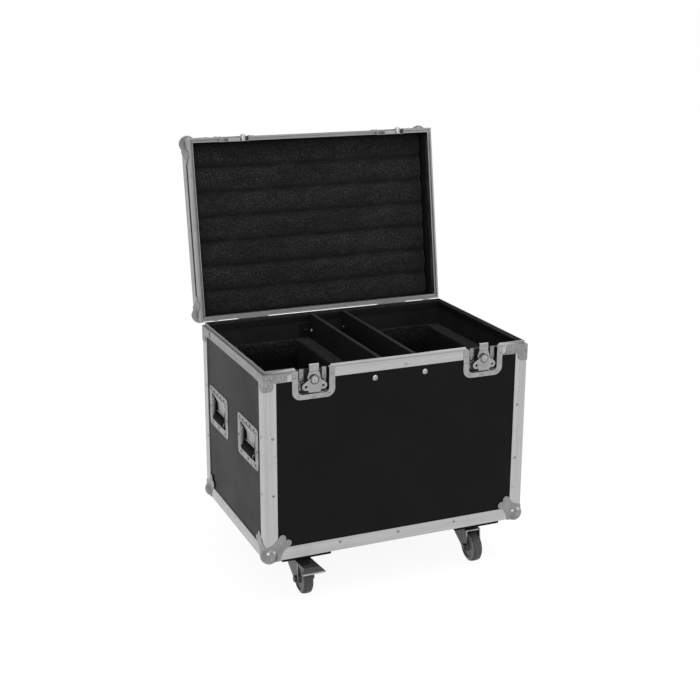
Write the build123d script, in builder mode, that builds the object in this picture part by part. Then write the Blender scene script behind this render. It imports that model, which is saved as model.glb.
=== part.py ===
from build123d import *
from math import sqrt
import os

# Lighting flight case: a plywood trunk edged with aluminium, on four swivel castors, with a
# hinged lid that stands open on its stop hinges. Sizes are in millimetres, +Z is up, the front
# looks towards -Y, and the origin is on the ground under the middle of the trunk.

os.makedirs("parts", exist_ok=True)

# Overall sizes
case_width = 660.0
case_depth = 450.0
base_height = 445.0
lid_height = 65.0
lid_open_angle = 98.8
parting_gap = 0.4

# Panels, edging and clearances
panel_thickness = 7.0
edge_gauge = 2.0
edge_leg = 30.0
mitre_gap = 0.3
fit_gap = 0.3
cut_overrun = 40.0

# Rim profiles: a tongue on the trunk and a grooved profile on the lid
rim_flange = 21.6
rim_inner_flange = 14.0
tongue_setback = 4.6
tongue_foot = 4.4
tongue_tip = 2.1
tongue_rise = 7.0
groove_gap = 0.4
groove_headroom = 1.2
lid_rim_flange = 22.0
lid_rim_inner_flange = 18.0

# Ball corners
ball_radius = 21.0
ball_inset = 12.0
corner_gauge = 1.2
plate_edge = 35.0
lobe_near = 40.0
lobe_far = 53.0
lobe_hollow = 4.0

# Rim corner braces
brace_reach = 56.0
brace_drop = 40.0
brace_leg = 24.0
brace_round = 11.0
brace_end_round = 5.0
brace_top_margin = 1.0

# Butterfly latches: dish in the trunk's front and dish in the lid
latch_brace_gap = 11.0
dish_width = 102.0
dish_drop = 67.0
dish_opening_width = 74.0
dish_opening_drop = 55.5
dish_round = 20.0
dish_opening_round = 10.0
dish_depth = 12.0
dish_gauge = 1.2
tongue_end_slope = 6.0
lid_dish_rise = 34.0
lid_dish_opening_rise = 22.0

# Butterfly latches: mechanism
hub_drop = 21.7
hub_radius = 9.5
hub_proud = 8.2
hub_length = 4.6
hub_bevel = 0.7
shaft_radius = 4.5
shaft_clearance = 0.05
shaft_end_gap = 0.3
pin_radius = 1.2
pin_half_length = 14.0
barrel_radius = 2.2
wing_gauge = 1.2
wing_lobe_spread = 20.5
wing_lobe_drop = 14.7
wing_lobe_radius = 8.8
wing_hole_radius = 3.2
wing_belly_drop = 28.5
wing_belly_half_width = 14.5
wing_belly_round = 2.5
wing_hub_gap = 0.4
hook_gauge = 1.6
hook_proud = 0.9
hook_top_rise = 13.6
hook_top_half_width = 11.4
hook_shoulder_rise = 3.0
hook_waist_half_width = 15.4
hook_waist_drop = 15.0
hook_tail_drop = 12.0
hook_tail_half_width = 9.0
hook_travel_down = 6.0
hook_travel_in = 3.5
hook_slot_gap = 0.3
housing_gauge = 1.5
housing_width = 69.0
housing_drop = 50.0
housing_round = 8.0
housing_top_drop = 1.0
boss_radius = 9.0
boss_rise = 4.3
guide_width = 10.0
guide_spread = 27.0
guide_rise = 3.3
guide_top_rise = 2.0
guide_drop = 25.0
keeper_thickness = 2.5
keeper_width = 30.0
keeper_gap = 0.3
keeper_foot_rise = 16.0
keeper_web_rise = 0.6
keeper_gauge = 1.5

# Recessed handles
handle_edge_gap = 12.5
handle_drop = 191.0
handle_dish_width = 144.0
handle_dish_height = 101.0
handle_dish_round = 12.0
handle_opening_width = 111.0
handle_opening_height = 66.0
handle_opening_round = 9.0
handle_depth = 15.0
bail_radius = 3.0
bail_half_width = 42.0
bail_pivot_rise = 16.0
bail_pivot_depth = 5.5
bail_bar_drop = 24.0
bail_bar_depth = 3.8
bail_stub_length = 8.5
bail_bend = 4.5
bail_clearance = 0.05
grip_radius = 8.6
grip_half_length = 36.0
grip_round = 1.5
ear_gauge = 4.0
ear_half_height = 5.0

# Hinges with an opening stop
hinge_corner_gap = 98.5
hinge_width = 78.0
hinge_axis_behind = 6.6
hinge_axis_below = 1.4
hinge_gauge = 2.0
hinge_leaf_height = 30.0
hinge_knuckle_radius = 4.1
hinge_pin_radius = 2.2
hinge_pin_clearance = 0.05
hinge_head_radius = 3.4
hinge_head_height = 1.2
hinge_knuckle_gap = 0.4
hinge_knuckles = 5
hinge_web_height = 2.0
stop_reach = 15.0
stop_gap = 0.1
stop_thickness = 2.6

# Inside: dividers, brackets, bolts and foam
divider_offset = 43.5
divider_thickness = 9.0
divider_rise = 3.0
bracket_leg = 30.0
bracket_gauge = 2.0
bracket_height = 32.0
bolt_drop = 38.0
bolt_from_divider = 14.5
bolt_setback = 18.0
bolt_radius = 2.5
bolt_hole_gap = 0.05
bolt_head_radius = 6.5
bolt_head_height = 3.0
bolt_head_bevel = 1.5
bolt_socket_radius = 3.0
bolt_socket_depth = 1.8
bolt_nut_radius = 4.5
bolt_nut_height = 4.0
foam_drop = 58.5
foam_block_width = 40.0
foam_liner_thickness = 10.0
foam_floor_thickness = 20.0
foam_gap = 0.3
lid_foam_web = 13.0
lid_foam_crown = 8.0
lid_foam_ridges = 7
lid_foam_side_gap = 8.0

# Castors
board_side = 122.0
board_side_inset = 46.4
board_front_inset = 18.6
board_thickness = 15.0
board_round = 4.0
castor_plate_width = 86.0
castor_plate_length = 98.0
castor_plate_gauge = 3.0
castor_plate_round = 6.0
castor_height = 98.0
castor_trail = 37.0
wheel_radius = 37.5
wheel_width = 26.0
tread_round = 9.5
wheel_core_radius = 27.0
wheel_dish = 3.0
wheel_hub_radius = 11.0
wheel_hub_length = 30.0
axle_radius = 5.0
axle_clearance = 0.05
nut_radius = 8.0
nut_height = 5.0
leg_gauge = 2.5
leg_gap = 2.0
leg_front = 43.0
leg_rear = 18.0
leg_rear_drop = 26.0
leg_boss_radius = 10.5
race_radius = 27.0
race_height = 4.0
race_gap = 0.3
kingpin_radius = 6.0
kingpin_clearance = 0.05
kingpin_head_radius = 9.0
kingpin_head_height = 2.5
crown_radius = 28.0
crown_height = 8.0
crown_bevel = 3.0
pedal_pivot_forward = 49.0
pedal_pivot_drop = 2.0
pedal_pin_radius = 2.0
pedal_pin_clearance = 0.05
pedal_barrel_radius = 3.6
pedal_gauge = 2.5
pedal_ear_radius = 3.4
pedal_knee_forward = 90.0
pedal_knee_rise = 3.5
pedal_tip_forward = 107.0
pedal_tip_fall = 3.3
pedal_tip_half_width = 27.5
pedal_skirt_drop = 14.0
pedal_skirt_start_drop = 8.0
pedal_lip_drop = 4.0
pedal_side_gap = 0.4
pedal_groove = 1.1
pedal_grooves = 4

# Places worked out from the sizes above
inner_face = edge_gauge + panel_thickness
wall = inner_face + edge_gauge
base_bottom = castor_height + board_thickness
ledge = base_bottom + base_height
hinge_axis_y = case_depth / 2 + hinge_axis_behind
hinge_axis_z = ledge - hinge_axis_below
lid_top = lid_height - parting_gap
groove_depth = tongue_rise + groove_headroom
castor_x = case_width / 2 - board_side_inset - board_side / 2
castor_y = case_depth / 2 - board_front_inset - board_side / 2
latch_offset = case_width / 2 - brace_reach - latch_brace_gap - dish_width / 2
hinge_offset = case_width / 2 - hinge_corner_gap - hinge_width / 2
handle_offset = case_depth / 2 - edge_leg - handle_edge_gap - handle_dish_width / 2
handle_height = base_height - handle_drop
bolt_height = base_height - bolt_drop
bolt_offset = divider_offset + divider_thickness / 2 + bolt_from_divider
foam_top = base_height - foam_drop

# The trunk's frame stands at its bottom edge. The lid's frame is its open parting plane: its
# local z points from the rim to the lid's top, as it does when the lid is shut.
trunk_frame = Plane.XY.offset(base_bottom)
lid_frame = Plane(
    Pos(0, hinge_axis_y, hinge_axis_z)
    * Rot(-lid_open_angle, 0, 0)
    * Pos(0, -hinge_axis_y, hinge_axis_below + parting_gap)
)


def run_and_across(side):
    """Length of a face and the distance to its twin, for sides 0 to 3."""
    return (case_width, case_depth) if side % 2 == 0 else (case_depth, case_width)


def side_plane(frame, side):
    """Outer face of a side (front, right, back, left): x along it, y up, z outwards."""
    run, across = run_and_across(side)
    turn = Rot(0, 0, 90 * side)
    return Plane(frame.location * turn * Pos(0, -across / 2, 0) * Rot(90, 0, 0))


def place_on(face, along, up):
    """The face's plane moved along it and up it."""
    return Plane(origin=face.from_local_coords((along, up, 0)), x_dir=face.x_dir, z_dir=face.z_dir)


def section_plane(frame, side):
    """Plane of a bar's section at the left end of a side: x inwards, y up, z along the side."""
    face = side_plane(frame, side)
    run, across = run_and_across(side)
    return Plane(origin=face.from_local_coords((-run / 2, 0, 0)), x_dir=-face.z_dir, z_dir=face.x_dir)


def mitred_bar(frame, side, outline):
    """One length of edging along a side, its ends cut at the corners' mitres."""
    face = side_plane(frame, side)
    run, across = run_and_across(side)
    start = face.from_local_coords((-run / 2, 0, 0))
    end = face.from_local_coords((run / 2, 0, 0))
    start_cut = Plane(origin=start, z_dir=face.x_dir + face.z_dir).offset(mitre_gap / 2)
    end_cut = Plane(origin=end, z_dir=face.z_dir - face.x_dir).offset(mitre_gap / 2)
    with BuildPart() as bar:
        with BuildSketch(section_plane(frame, side)):
            with BuildLine():
                Polyline(*outline, close=True)
            make_face()
        extrude(amount=run)
        split(bisect_by=start_cut, keep=Keep.TOP)
        split(bisect_by=end_cut, keep=Keep.TOP)
    return bar.part


def corner_angles(frame, low, high):
    """Upright L-section edging at the four corners, between two heights of a frame."""
    with BuildPart() as angles:
        for sx, sy in corner_signs:
            x = sx * case_width / 2
            y = sy * case_depth / 2
            with BuildSketch(frame.offset(low)):
                with BuildLine():
                    Polyline(
                        (x, y),
                        (x - sx * edge_leg, y),
                        (x - sx * edge_leg, y - sy * edge_gauge),
                        (x - sx * edge_gauge, y - sy * edge_gauge),
                        (x - sx * edge_gauge, y - sy * edge_leg),
                        (x, y - sy * edge_leg),
                        close=True,
                    )
                make_face()
            extrude(amount=high - low)
    return angles.part


def at_corner(piece, frame, sx, sy, height, flip=False):
    """A piece drawn for the front left bottom corner, mirrored and moved to another one."""
    if sx > 0:
        piece = mirror(piece, about=Plane.YZ, mode=Mode.PRIVATE)
    if sy > 0:
        piece = mirror(piece, about=Plane.XZ, mode=Mode.PRIVATE)
    if flip:
        piece = mirror(piece, about=Plane.XY, mode=Mode.PRIVATE)
    return frame.location * Pos(sx * case_width / 2, sy * case_depth / 2, height) * piece


def save(builder, label):
    """Label a finished piece, or group of like pieces, and write it."""
    builder.part.label = label
    export_step(builder.part, f"parts/{label}.step")


corner_signs = ((-1, -1), (1, -1), (1, 1), (-1, 1))
end_signs = (-1, 1)
side_names = ("front", "right", "back", "left")
corner_names = ("front_left", "front_right", "back_right", "back_left")

# Faces of a corner piece that is drawn with the case towards +X, +Y and +Z, with the signs
# that point from the corner into the case along each face's own x and y
bottom_of_corner = (Plane(origin=(0, 0, 0), x_dir=(1, 0, 0), z_dir=(0, 0, -1)), 1, -1)
front_of_corner = (Plane(origin=(0, 0, 0), x_dir=(1, 0, 0), z_dir=(0, -1, 0)), 1, 1)
left_of_corner = (Plane(origin=(0, 0, 0), x_dir=(0, -1, 0), z_dir=(-1, 0, 0)), -1, 1)

# Ball corner: three clover plates and a ball that stands out round the corner
lobe_middle = (lobe_near + lobe_far) / 2
lobe_foot = lobe_near - (lobe_far - lobe_near) / 2
lobe_tip = lobe_far + (lobe_far - lobe_near) / 2
lobe_reach = lobe_far + (lobe_far - lobe_near) / sqrt(2)
hollow_along = (plate_edge + lobe_tip) / 2 - lobe_hollow
hollow_across = lobe_foot / 2 + lobe_hollow
with BuildPart() as ball_corner:
    for face, su, sv in (bottom_of_corner, front_of_corner, left_of_corner):
        with BuildSketch(face):
            with BuildLine():
                foot = Polyline(
                    (0, sv * plate_edge),
                    (-su * corner_gauge, sv * plate_edge),
                    (-su * corner_gauge, -sv * corner_gauge),
                    (su * plate_edge, -sv * corner_gauge),
                    (su * plate_edge, 0),
                )
                ThreePointArc(
                    foot @ 1,
                    (su * hollow_along, sv * hollow_across),
                    (su * lobe_tip, sv * lobe_foot),
                )
                ThreePointArc(
                    (su * lobe_tip, sv * lobe_foot),
                    (su * lobe_tip, sv * lobe_middle),
                    (su * lobe_middle, sv * lobe_middle),
                )
                ThreePointArc(
                    (su * lobe_middle, sv * lobe_middle),
                    (su * lobe_middle, sv * lobe_tip),
                    (su * lobe_foot, sv * lobe_tip),
                )
                ThreePointArc(
                    (su * lobe_foot, sv * lobe_tip),
                    (su * hollow_across, sv * hollow_along),
                    foot @ 0,
                )
            make_face()
        extrude(amount=corner_gauge)
    with Locations((ball_inset, ball_inset, ball_inset)):
        Box(2 * ball_radius, 2 * ball_radius, 2 * ball_radius, align=Align.MAX, mode=Mode.SUBTRACT)
        Sphere(ball_radius)
    Box(case_width, case_width, case_width, align=Align.MIN, mode=Mode.SUBTRACT)

# Rim corner brace, drawn with the ledge's corner at the origin and the trunk towards -Z
with BuildPart() as brace:
    for face, su, sv in (front_of_corner, left_of_corner):
        with BuildSketch(face):
            with BuildLine():
                Polyline(
                    (-su * corner_gauge, -brace_top_margin),
                    (su * brace_reach, -brace_top_margin),
                    (su * brace_reach, -rim_flange),
                    (su * brace_leg, -rim_flange),
                    (su * brace_leg, -brace_drop),
                    (-su * corner_gauge, -brace_drop),
                    close=True,
                )
            make_face()
            leg_tip = max(vertices().group_by(Axis.Y)[0], key=lambda v: abs(v.X))
            fillet(leg_tip, radius=brace_round)
            arm_ends = sorted(vertices(), key=lambda v: abs(v.X))[-2:]
            fillet(arm_ends, radius=brace_end_round)
        extrude(amount=corner_gauge)

# Panels: the floor carries the walls, and the end walls stand between the front and back ones
latch_cut_width = dish_opening_width + 2 * (dish_gauge + fit_gap)
latch_cut_drop = dish_opening_drop + dish_gauge + fit_gap
latch_cut_round = dish_opening_round + dish_gauge + fit_gap
handle_cut_width = handle_opening_width + 2 * (dish_gauge + fit_gap)
handle_cut_height = handle_opening_height + 2 * (dish_gauge + fit_gap)
handle_cut_round = handle_opening_round + dish_gauge + fit_gap
wall_height = base_height - edge_gauge - inner_face
bolt_hole_radius = bolt_radius + bolt_hole_gap

with BuildPart() as panel_floor:
    with BuildSketch(trunk_frame.offset(edge_gauge)):
        Rectangle(case_width - 2 * edge_gauge, case_depth - 2 * edge_gauge)
    extrude(amount=panel_thickness)
save(panel_floor, "panel_floor")

for side in range(4):
    run, across = run_and_across(side)
    outer = side_plane(trunk_frame, side)
    with BuildPart() as panel:
        with BuildSketch(outer.offset(-edge_gauge)):
            with Locations((0, inner_face)):
                width = run - 2 * (edge_gauge if side % 2 == 0 else inner_face)
                Rectangle(width, wall_height, align=(Align.CENTER, Align.MIN))
            if side == 0:
                with Locations(*[(s * latch_offset, base_height - latch_cut_drop) for s in end_signs]):
                    RectangleRounded(
                        latch_cut_width,
                        latch_cut_drop + cut_overrun,
                        latch_cut_round,
                        align=(Align.CENTER, Align.MIN),
                        mode=Mode.SUBTRACT,
                    )
            if side % 2 == 0:
                with Locations(*[(s * bolt_offset, bolt_height) for s in end_signs]):
                    Circle(bolt_hole_radius, mode=Mode.SUBTRACT)
            else:
                with Locations(*[(s * handle_offset, handle_height) for s in end_signs]):
                    RectangleRounded(
                        handle_cut_width, handle_cut_height, handle_cut_round, mode=Mode.SUBTRACT
                    )
        extrude(amount=-panel_thickness)
    save(panel, f"panel_{side_names[side]}")

# Edging of the trunk: bottom angles, corner angles and the tongued rim
bottom_angle_outline = (
    (0, 0),
    (edge_leg, 0),
    (edge_leg, edge_gauge),
    (edge_gauge, edge_gauge),
    (edge_gauge, edge_leg),
    (0, edge_leg),
)
with BuildPart() as base_bottom_angles:
    for side in range(4):
        add(mitred_bar(trunk_frame, side, bottom_angle_outline))
save(base_bottom_angles, "base_bottom_angles")

with BuildPart() as base_corner_angles:
    add(corner_angles(trunk_frame, edge_leg, base_height - rim_flange))
save(base_corner_angles, "base_corner_angles")

tongue_end = tongue_setback + tongue_foot
base_rim_outline = (
    (0, base_height - rim_flange),
    (edge_gauge, base_height - rim_flange),
    (edge_gauge, base_height - edge_gauge),
    (inner_face, base_height - edge_gauge),
    (inner_face, base_height - rim_inner_flange),
    (wall, base_height - rim_inner_flange),
    (wall, base_height),
    (tongue_end, base_height),
    (tongue_setback + tongue_tip, base_height + tongue_rise),
    (tongue_setback, base_height + tongue_rise),
    (tongue_setback, base_height),
    (0, base_height),
)
front_of_trunk = side_plane(trunk_frame, 0)
latch_planes = [place_on(front_of_trunk, s * latch_offset, base_height) for s in end_signs]
with BuildPart() as base_rim:
    for side in range(4):
        add(mitred_bar(trunk_frame, side, base_rim_outline))
    # The rim stops at each latch dish, and its tongue ends in slopes
    for plane in latch_planes:
        with BuildSketch(plane.offset(edge_gauge)):
            with BuildLine():
                Polyline(
                    (-latch_cut_width / 2, -cut_overrun),
                    (latch_cut_width / 2, -cut_overrun),
                    (latch_cut_width / 2, 0),
                    (latch_cut_width / 2 + tongue_end_slope, tongue_rise),
                    (latch_cut_width / 2 + tongue_end_slope, cut_overrun),
                    (-latch_cut_width / 2 - tongue_end_slope, cut_overrun),
                    (-latch_cut_width / 2 - tongue_end_slope, tongue_rise),
                    (-latch_cut_width / 2, 0),
                    close=True,
                )
            make_face()
        extrude(amount=-(wall + 2 * edge_gauge), mode=Mode.SUBTRACT)
save(base_rim, "base_rim")

with BuildPart() as base_ball_corners:
    for sx, sy in corner_signs:
        add(at_corner(ball_corner.part, trunk_frame, sx, sy, 0))
save(base_ball_corners, "base_ball_corners")

with BuildPart() as base_corner_braces:
    for sx, sy in corner_signs:
        add(at_corner(brace.part, trunk_frame, sx, sy, base_height))
save(base_corner_braces, "base_corner_braces")


def dish_outline(width, height, corner):
    """A rectangle hanging from y = 0 with its two lower corners rounded."""
    with BuildSketch() as outline:
        with BuildLine():
            left = Line((-width / 2, 0), (-width / 2, corner - height))
            turn = TangentArc(left @ 1, (corner - width / 2, -height), tangent=left % 1)
            low = Line(turn @ 1, (width / 2 - corner, -height))
            rise = TangentArc(low @ 1, (width / 2, corner - height), tangent=low % 1)
            right = Line(rise @ 1, (width / 2, 0))
            Line(right @ 1, left @ 0)
        make_face()
    return outline.sketch_local


def dish(width, height, opening_width, opening_height, corner, opening_corner, seat):
    """A pressed dish: flange, cup open at the top and a skirt that seats on the panel below
    the edging. Drawn with x across, z outwards and its open top edge along y = 0, below it."""
    mouth = dish_outline(opening_width, opening_height, opening_corner)
    cup = dish_outline(
        opening_width + 2 * dish_gauge, opening_height + dish_gauge, opening_corner + dish_gauge
    )
    rim = dish_outline(width, height, corner)
    rim_inside = dish_outline(width - 2 * dish_gauge, height - dish_gauge, corner - dish_gauge)
    with BuildPart() as pressed:
        with BuildSketch():
            add(rim)
            add(mouth, mode=Mode.SUBTRACT)
        extrude(amount=dish_gauge)
        with BuildSketch():
            add(cup)
            add(mouth, mode=Mode.SUBTRACT)
        extrude(amount=-dish_depth)
        with BuildSketch(Plane.XY.offset(dish_gauge - dish_depth)):
            add(mouth)
        extrude(amount=-dish_gauge)
        with BuildSketch():
            add(rim)
            add(rim_inside, mode=Mode.SUBTRACT)
            with Locations((0, -seat)):
                Rectangle(width, height, align=(Align.CENTER, Align.MIN), mode=Mode.SUBTRACT)
        extrude(amount=-edge_gauge)
    return pressed.part


# Latch dishes and the housings riveted into them
latch_dish = dish(
    dish_width,
    dish_drop,
    dish_opening_width,
    dish_opening_drop,
    dish_round,
    dish_opening_round,
    rim_flange + fit_gap,
)
with BuildPart() as latch_dishes:
    for plane in latch_planes:
        add(plane.location * latch_dish)
save(latch_dishes, "latch_dishes")

dish_back = dish_depth - dish_gauge
housing_front = dish_back - housing_gauge
with BuildPart() as latch_housing:
    with BuildSketch(Plane.XY.offset(-dish_back)):
        with Locations((0, -housing_top_drop)):
            Rectangle(housing_width, housing_drop - housing_top_drop, align=(Align.CENTER, Align.MAX))
        fillet(vertices().group_by(Axis.Y)[0], radius=housing_round)
    extrude(amount=housing_gauge)
    with BuildSketch(Plane.XY.offset(-housing_front)):
        with Locations(*[(s * guide_spread, guide_top_rise) for s in end_signs]):
            Rectangle(guide_width, guide_top_rise + guide_drop, align=(Align.CENTER, Align.MAX))
    extrude(amount=guide_rise)
    with BuildSketch(Plane.XY.offset(-housing_front)):
        with Locations((0, -hub_drop)):
            Circle(boss_radius)
            Circle(shaft_radius + shaft_clearance, mode=Mode.SUBTRACT)
    extrude(amount=boss_rise)
with BuildPart() as latch_housings:
    for plane in latch_planes:
        add(plane.location * latch_housing.part)
save(latch_housings, "latch_housings")

# Latch knob: a hub disc on the shaft, with a cross pin that carries the wing
pin_level = hub_proud - hub_length / 2
with BuildPart() as latch_knob:
    with BuildSketch(Plane.XY.offset(hub_proud)):
        with Locations((0, -hub_drop)):
            Circle(hub_radius)
    extrude(amount=-hub_length)
    chamfer(edges().group_by(Axis.Z)[-1], length=hub_bevel)
    with BuildSketch(Plane.XY.offset(hub_proud - hub_length)):
        with Locations((0, -hub_drop)):
            Circle(shaft_radius)
    extrude(amount=-(hub_proud - hub_length + housing_front - shaft_end_gap))
    with BuildSketch(Plane.YZ):
        with Locations((-hub_drop, pin_level)):
            Circle(pin_radius)
    extrude(amount=pin_half_length, both=True)

# Latch wing: a butterfly plate with two finger lobes, cut out round the hub, on two barrels
barrel_start = hub_radius + wing_hub_gap + fit_gap
with BuildPart() as latch_wing:
    with BuildSketch(Plane.XY.offset(pin_level - wing_gauge / 2)):
        with Locations(*[(s * wing_lobe_spread, -hub_drop - wing_lobe_drop) for s in end_signs]):
            Circle(wing_lobe_radius)
        with Locations(*[(s * (pin_half_length - barrel_radius), -hub_drop) for s in end_signs]):
            Circle(barrel_radius - wing_gauge / 2)
        make_hull()
        with Locations((0, -hub_drop - wing_belly_drop)):
            RectangleRounded(
                2 * wing_belly_half_width,
                wing_belly_drop,
                wing_belly_round,
                align=(Align.CENTER, Align.MIN),
            )
        with Locations(*[(s * wing_lobe_spread, -hub_drop - wing_lobe_drop) for s in end_signs]):
            Circle(wing_hole_radius, mode=Mode.SUBTRACT)
        with Locations((0, -hub_drop)):
            Circle(hub_radius + wing_hub_gap, mode=Mode.SUBTRACT)
            Rectangle(2 * barrel_start, 2 * barrel_radius, mode=Mode.SUBTRACT)
    extrude(amount=wing_gauge)
    for s in end_signs:
        with BuildSketch(Plane.YZ.offset(s * barrel_start)):
            with Locations((-hub_drop, pin_level)):
                Circle(barrel_radius)
        extrude(amount=s * (pin_half_length - barrel_start))
    with BuildSketch(Plane.YZ):
        with Locations((-hub_drop, pin_level)):
            Circle(pin_radius + shaft_clearance)
    extrude(amount=pin_half_length, both=True, mode=Mode.SUBTRACT)

# Latch hook: a plate that the shaft's crank draws down and in, with a lip over the keeper
hook_lip_reach = hook_gauge + keeper_gap + keeper_thickness
slot_half_width = shaft_radius + hook_slot_gap
with BuildPart() as latch_hook:
    with BuildSketch(Plane.YZ):
        with BuildLine():
            Polyline(
                (-hub_drop - hook_tail_drop, hook_proud),
                (hook_top_rise - hook_gauge, hook_proud),
                (hook_top_rise - hook_gauge, hook_proud + hook_gauge - hook_lip_reach),
                (hook_top_rise, hook_proud + hook_gauge - hook_lip_reach),
                (hook_top_rise, hook_proud + hook_gauge),
                (-hub_drop - hook_tail_drop, hook_proud + hook_gauge),
                close=True,
            )
        make_face()
        outer_bend = max(vertices(), key=lambda v: v.X + v.Y)
        fillet(outer_bend, radius=hook_gauge)
    extrude(amount=hook_waist_half_width, both=True)
    with BuildSketch(Plane.XY.offset(-dish_depth)):
        with BuildLine():
            Polyline(
                (-hook_tail_half_width, -hub_drop - hook_tail_drop),
                (hook_tail_half_width, -hub_drop - hook_tail_drop),
                (hook_waist_half_width, -hub_drop),
                (hook_waist_half_width, -hook_waist_drop),
                (hook_top_half_width, -hook_shoulder_rise),
                (hook_top_half_width, hook_top_rise),
                (-hook_top_half_width, hook_top_rise),
                (-hook_top_half_width, -hook_shoulder_rise),
                (-hook_waist_half_width, -hook_waist_drop),
                (-hook_waist_half_width, -hub_drop),
                close=True,
            )
        make_face()
    extrude(amount=2 * dish_depth, mode=Mode.INTERSECT)
    with BuildSketch(Plane.XY.offset(-dish_depth)):
        with Locations((0, -hub_drop), (0, hook_travel_down - hub_drop)):
            Circle(slot_half_width)
        with Locations((0, -hub_drop)):
            Rectangle(2 * slot_half_width, hook_travel_down, align=(Align.CENTER, Align.MIN))
    extrude(amount=2 * dish_depth, mode=Mode.SUBTRACT)

for plane, name in zip(latch_planes, ("left", "right")):
    for piece, kind in ((latch_knob, "knob"), (latch_wing, "wing"), (latch_hook, "hook")):
        with BuildPart() as placed:
            add(plane.location * piece.part)
        save(placed, f"latch_{kind}_{name}")

# Recessed handles in the end panels: dish with ears, bail of round rod and rubber grip
with BuildPart() as handle_dish:
    with BuildSketch(Plane.XY.offset(-edge_gauge)):
        RectangleRounded(handle_dish_width, handle_dish_height, handle_dish_round)
        RectangleRounded(
            handle_opening_width, handle_opening_height, handle_opening_round, mode=Mode.SUBTRACT
        )
    extrude(amount=dish_gauge)
    with BuildSketch(Plane.XY.offset(-handle_depth)):
        RectangleRounded(
            handle_opening_width + 2 * dish_gauge,
            handle_opening_height + 2 * dish_gauge,
            handle_opening_round + dish_gauge,
        )
    extrude(amount=handle_depth - edge_gauge)
    with BuildSketch(Plane.XY.offset(dish_gauge - handle_depth)):
        RectangleRounded(handle_opening_width, handle_opening_height, handle_opening_round)
    extrude(amount=handle_depth, mode=Mode.SUBTRACT)
    for s in end_signs:
        with BuildSketch(Plane.YZ.offset(s * (bail_half_width + bail_stub_length - ear_gauge))):
            with Locations((bail_pivot_rise, -bail_pivot_depth)):
                Circle(ear_half_height)
            with Locations((bail_pivot_rise, dish_gauge - handle_depth)):
                Rectangle(
                    2 * ear_half_height,
                    handle_depth - dish_gauge - bail_pivot_depth,
                    align=(Align.CENTER, Align.MIN),
                )
            with Locations((bail_pivot_rise, -bail_pivot_depth)):
                Circle(bail_radius + bail_clearance, mode=Mode.SUBTRACT)
        extrude(amount=s * ear_gauge)

bail_pivot = Vector(0, bail_pivot_rise, -bail_pivot_depth)
bail_bar = Vector(0, -bail_bar_drop, -bail_bar_depth)
bail_side = Vector(bail_half_width, 0, 0)
bail_stub = Vector(bail_half_width + bail_stub_length, 0, 0)
with BuildPart() as handle_bail:
    with BuildLine() as bail_path:
        FilletPolyline(
            bail_pivot - bail_stub,
            bail_pivot - bail_side,
            bail_bar - bail_side,
            bail_bar + bail_side,
            bail_pivot + bail_side,
            bail_pivot + bail_stub,
            radius=bail_bend,
        )
    with BuildSketch(Plane(origin=bail_path.line @ 0, z_dir=bail_path.line % 0)):
        Circle(bail_radius)
    sweep()

with BuildPart() as handle_grip:
    with BuildSketch(Plane(origin=bail_bar, x_dir=(0, 1, 0), z_dir=(1, 0, 0))):
        Circle(grip_radius)
    extrude(amount=grip_half_length, both=True)
    fillet(edges().filter_by(GeomType.CIRCLE), radius=grip_round)
    with BuildSketch(Plane(origin=bail_bar, x_dir=(0, 1, 0), z_dir=(1, 0, 0))):
        Circle(bail_radius)
    extrude(amount=grip_half_length, both=True, mode=Mode.SUBTRACT)

handle_places = (
    ("left_front", place_on(side_plane(trunk_frame, 3), handle_offset, handle_height)),
    ("left_back", place_on(side_plane(trunk_frame, 3), -handle_offset, handle_height)),
    ("right_front", place_on(side_plane(trunk_frame, 1), -handle_offset, handle_height)),
    ("right_back", place_on(side_plane(trunk_frame, 1), handle_offset, handle_height)),
)
with BuildPart() as handle_dishes:
    for name, plane in handle_places:
        add(plane.location * handle_dish.part)
save(handle_dishes, "handle_dishes")
for name, plane in handle_places:
    for piece, kind in ((handle_bail, "bail"), (handle_grip, "grip")):
        with BuildPart() as placed:
            add(plane.location * piece.part)
        save(placed, f"handle_{kind}_{name}")

# Hinges: three knuckles with stop fingers on the trunk, two on the lid. The section's x points
# back and its y up, from the pin's axis. The lid's leaf is drawn shut and turned open.
leaf_inner = -hinge_axis_behind
leaf_outer = leaf_inner + hinge_gauge
lid_leaf_foot = hinge_axis_below + parting_gap
knuckle_length = (hinge_width - (hinge_knuckles - 1) * hinge_knuckle_gap) / hinge_knuckles
knuckle_pitch = knuckle_length + hinge_knuckle_gap
stop_face = leaf_outer + stop_gap


def knuckle_plane(index, middle):
    """Section plane at the start of one knuckle of the hinge about a middle place."""
    start = middle - hinge_width / 2 + index * knuckle_pitch
    return Plane(origin=(start, hinge_axis_y, hinge_axis_z), x_dir=(0, 1, 0), z_dir=(1, 0, 0))


def hinge_leaf(plane, foot, turn):
    """A leaf over the hinge's whole width."""
    with BuildPart() as piece:
        with BuildSketch(plane):
            with Locations(turn):
                with Locations((leaf_inner, foot)):
                    Rectangle(hinge_gauge, hinge_leaf_height, align=Align.MIN)
        extrude(amount=hinge_width)
    return piece.part


def hinge_knuckle(plane, web_foot, turn):
    """A knuckle with the web that joins it to its leaf."""
    with BuildPart() as piece:
        with BuildSketch(plane):
            Circle(hinge_knuckle_radius)
            with Locations(turn):
                with Locations((leaf_inner, web_foot)):
                    Rectangle(-leaf_inner, hinge_web_height, align=Align.MIN)
        extrude(amount=knuckle_length)
    return piece.part


def pin_bore(plane):
    """The cylinder that clears the pin over the hinge's whole width."""
    with BuildPart() as piece:
        with BuildSketch(plane):
            Circle(hinge_pin_radius + hinge_pin_clearance)
        extrude(amount=hinge_width)
    return piece.part


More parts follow.
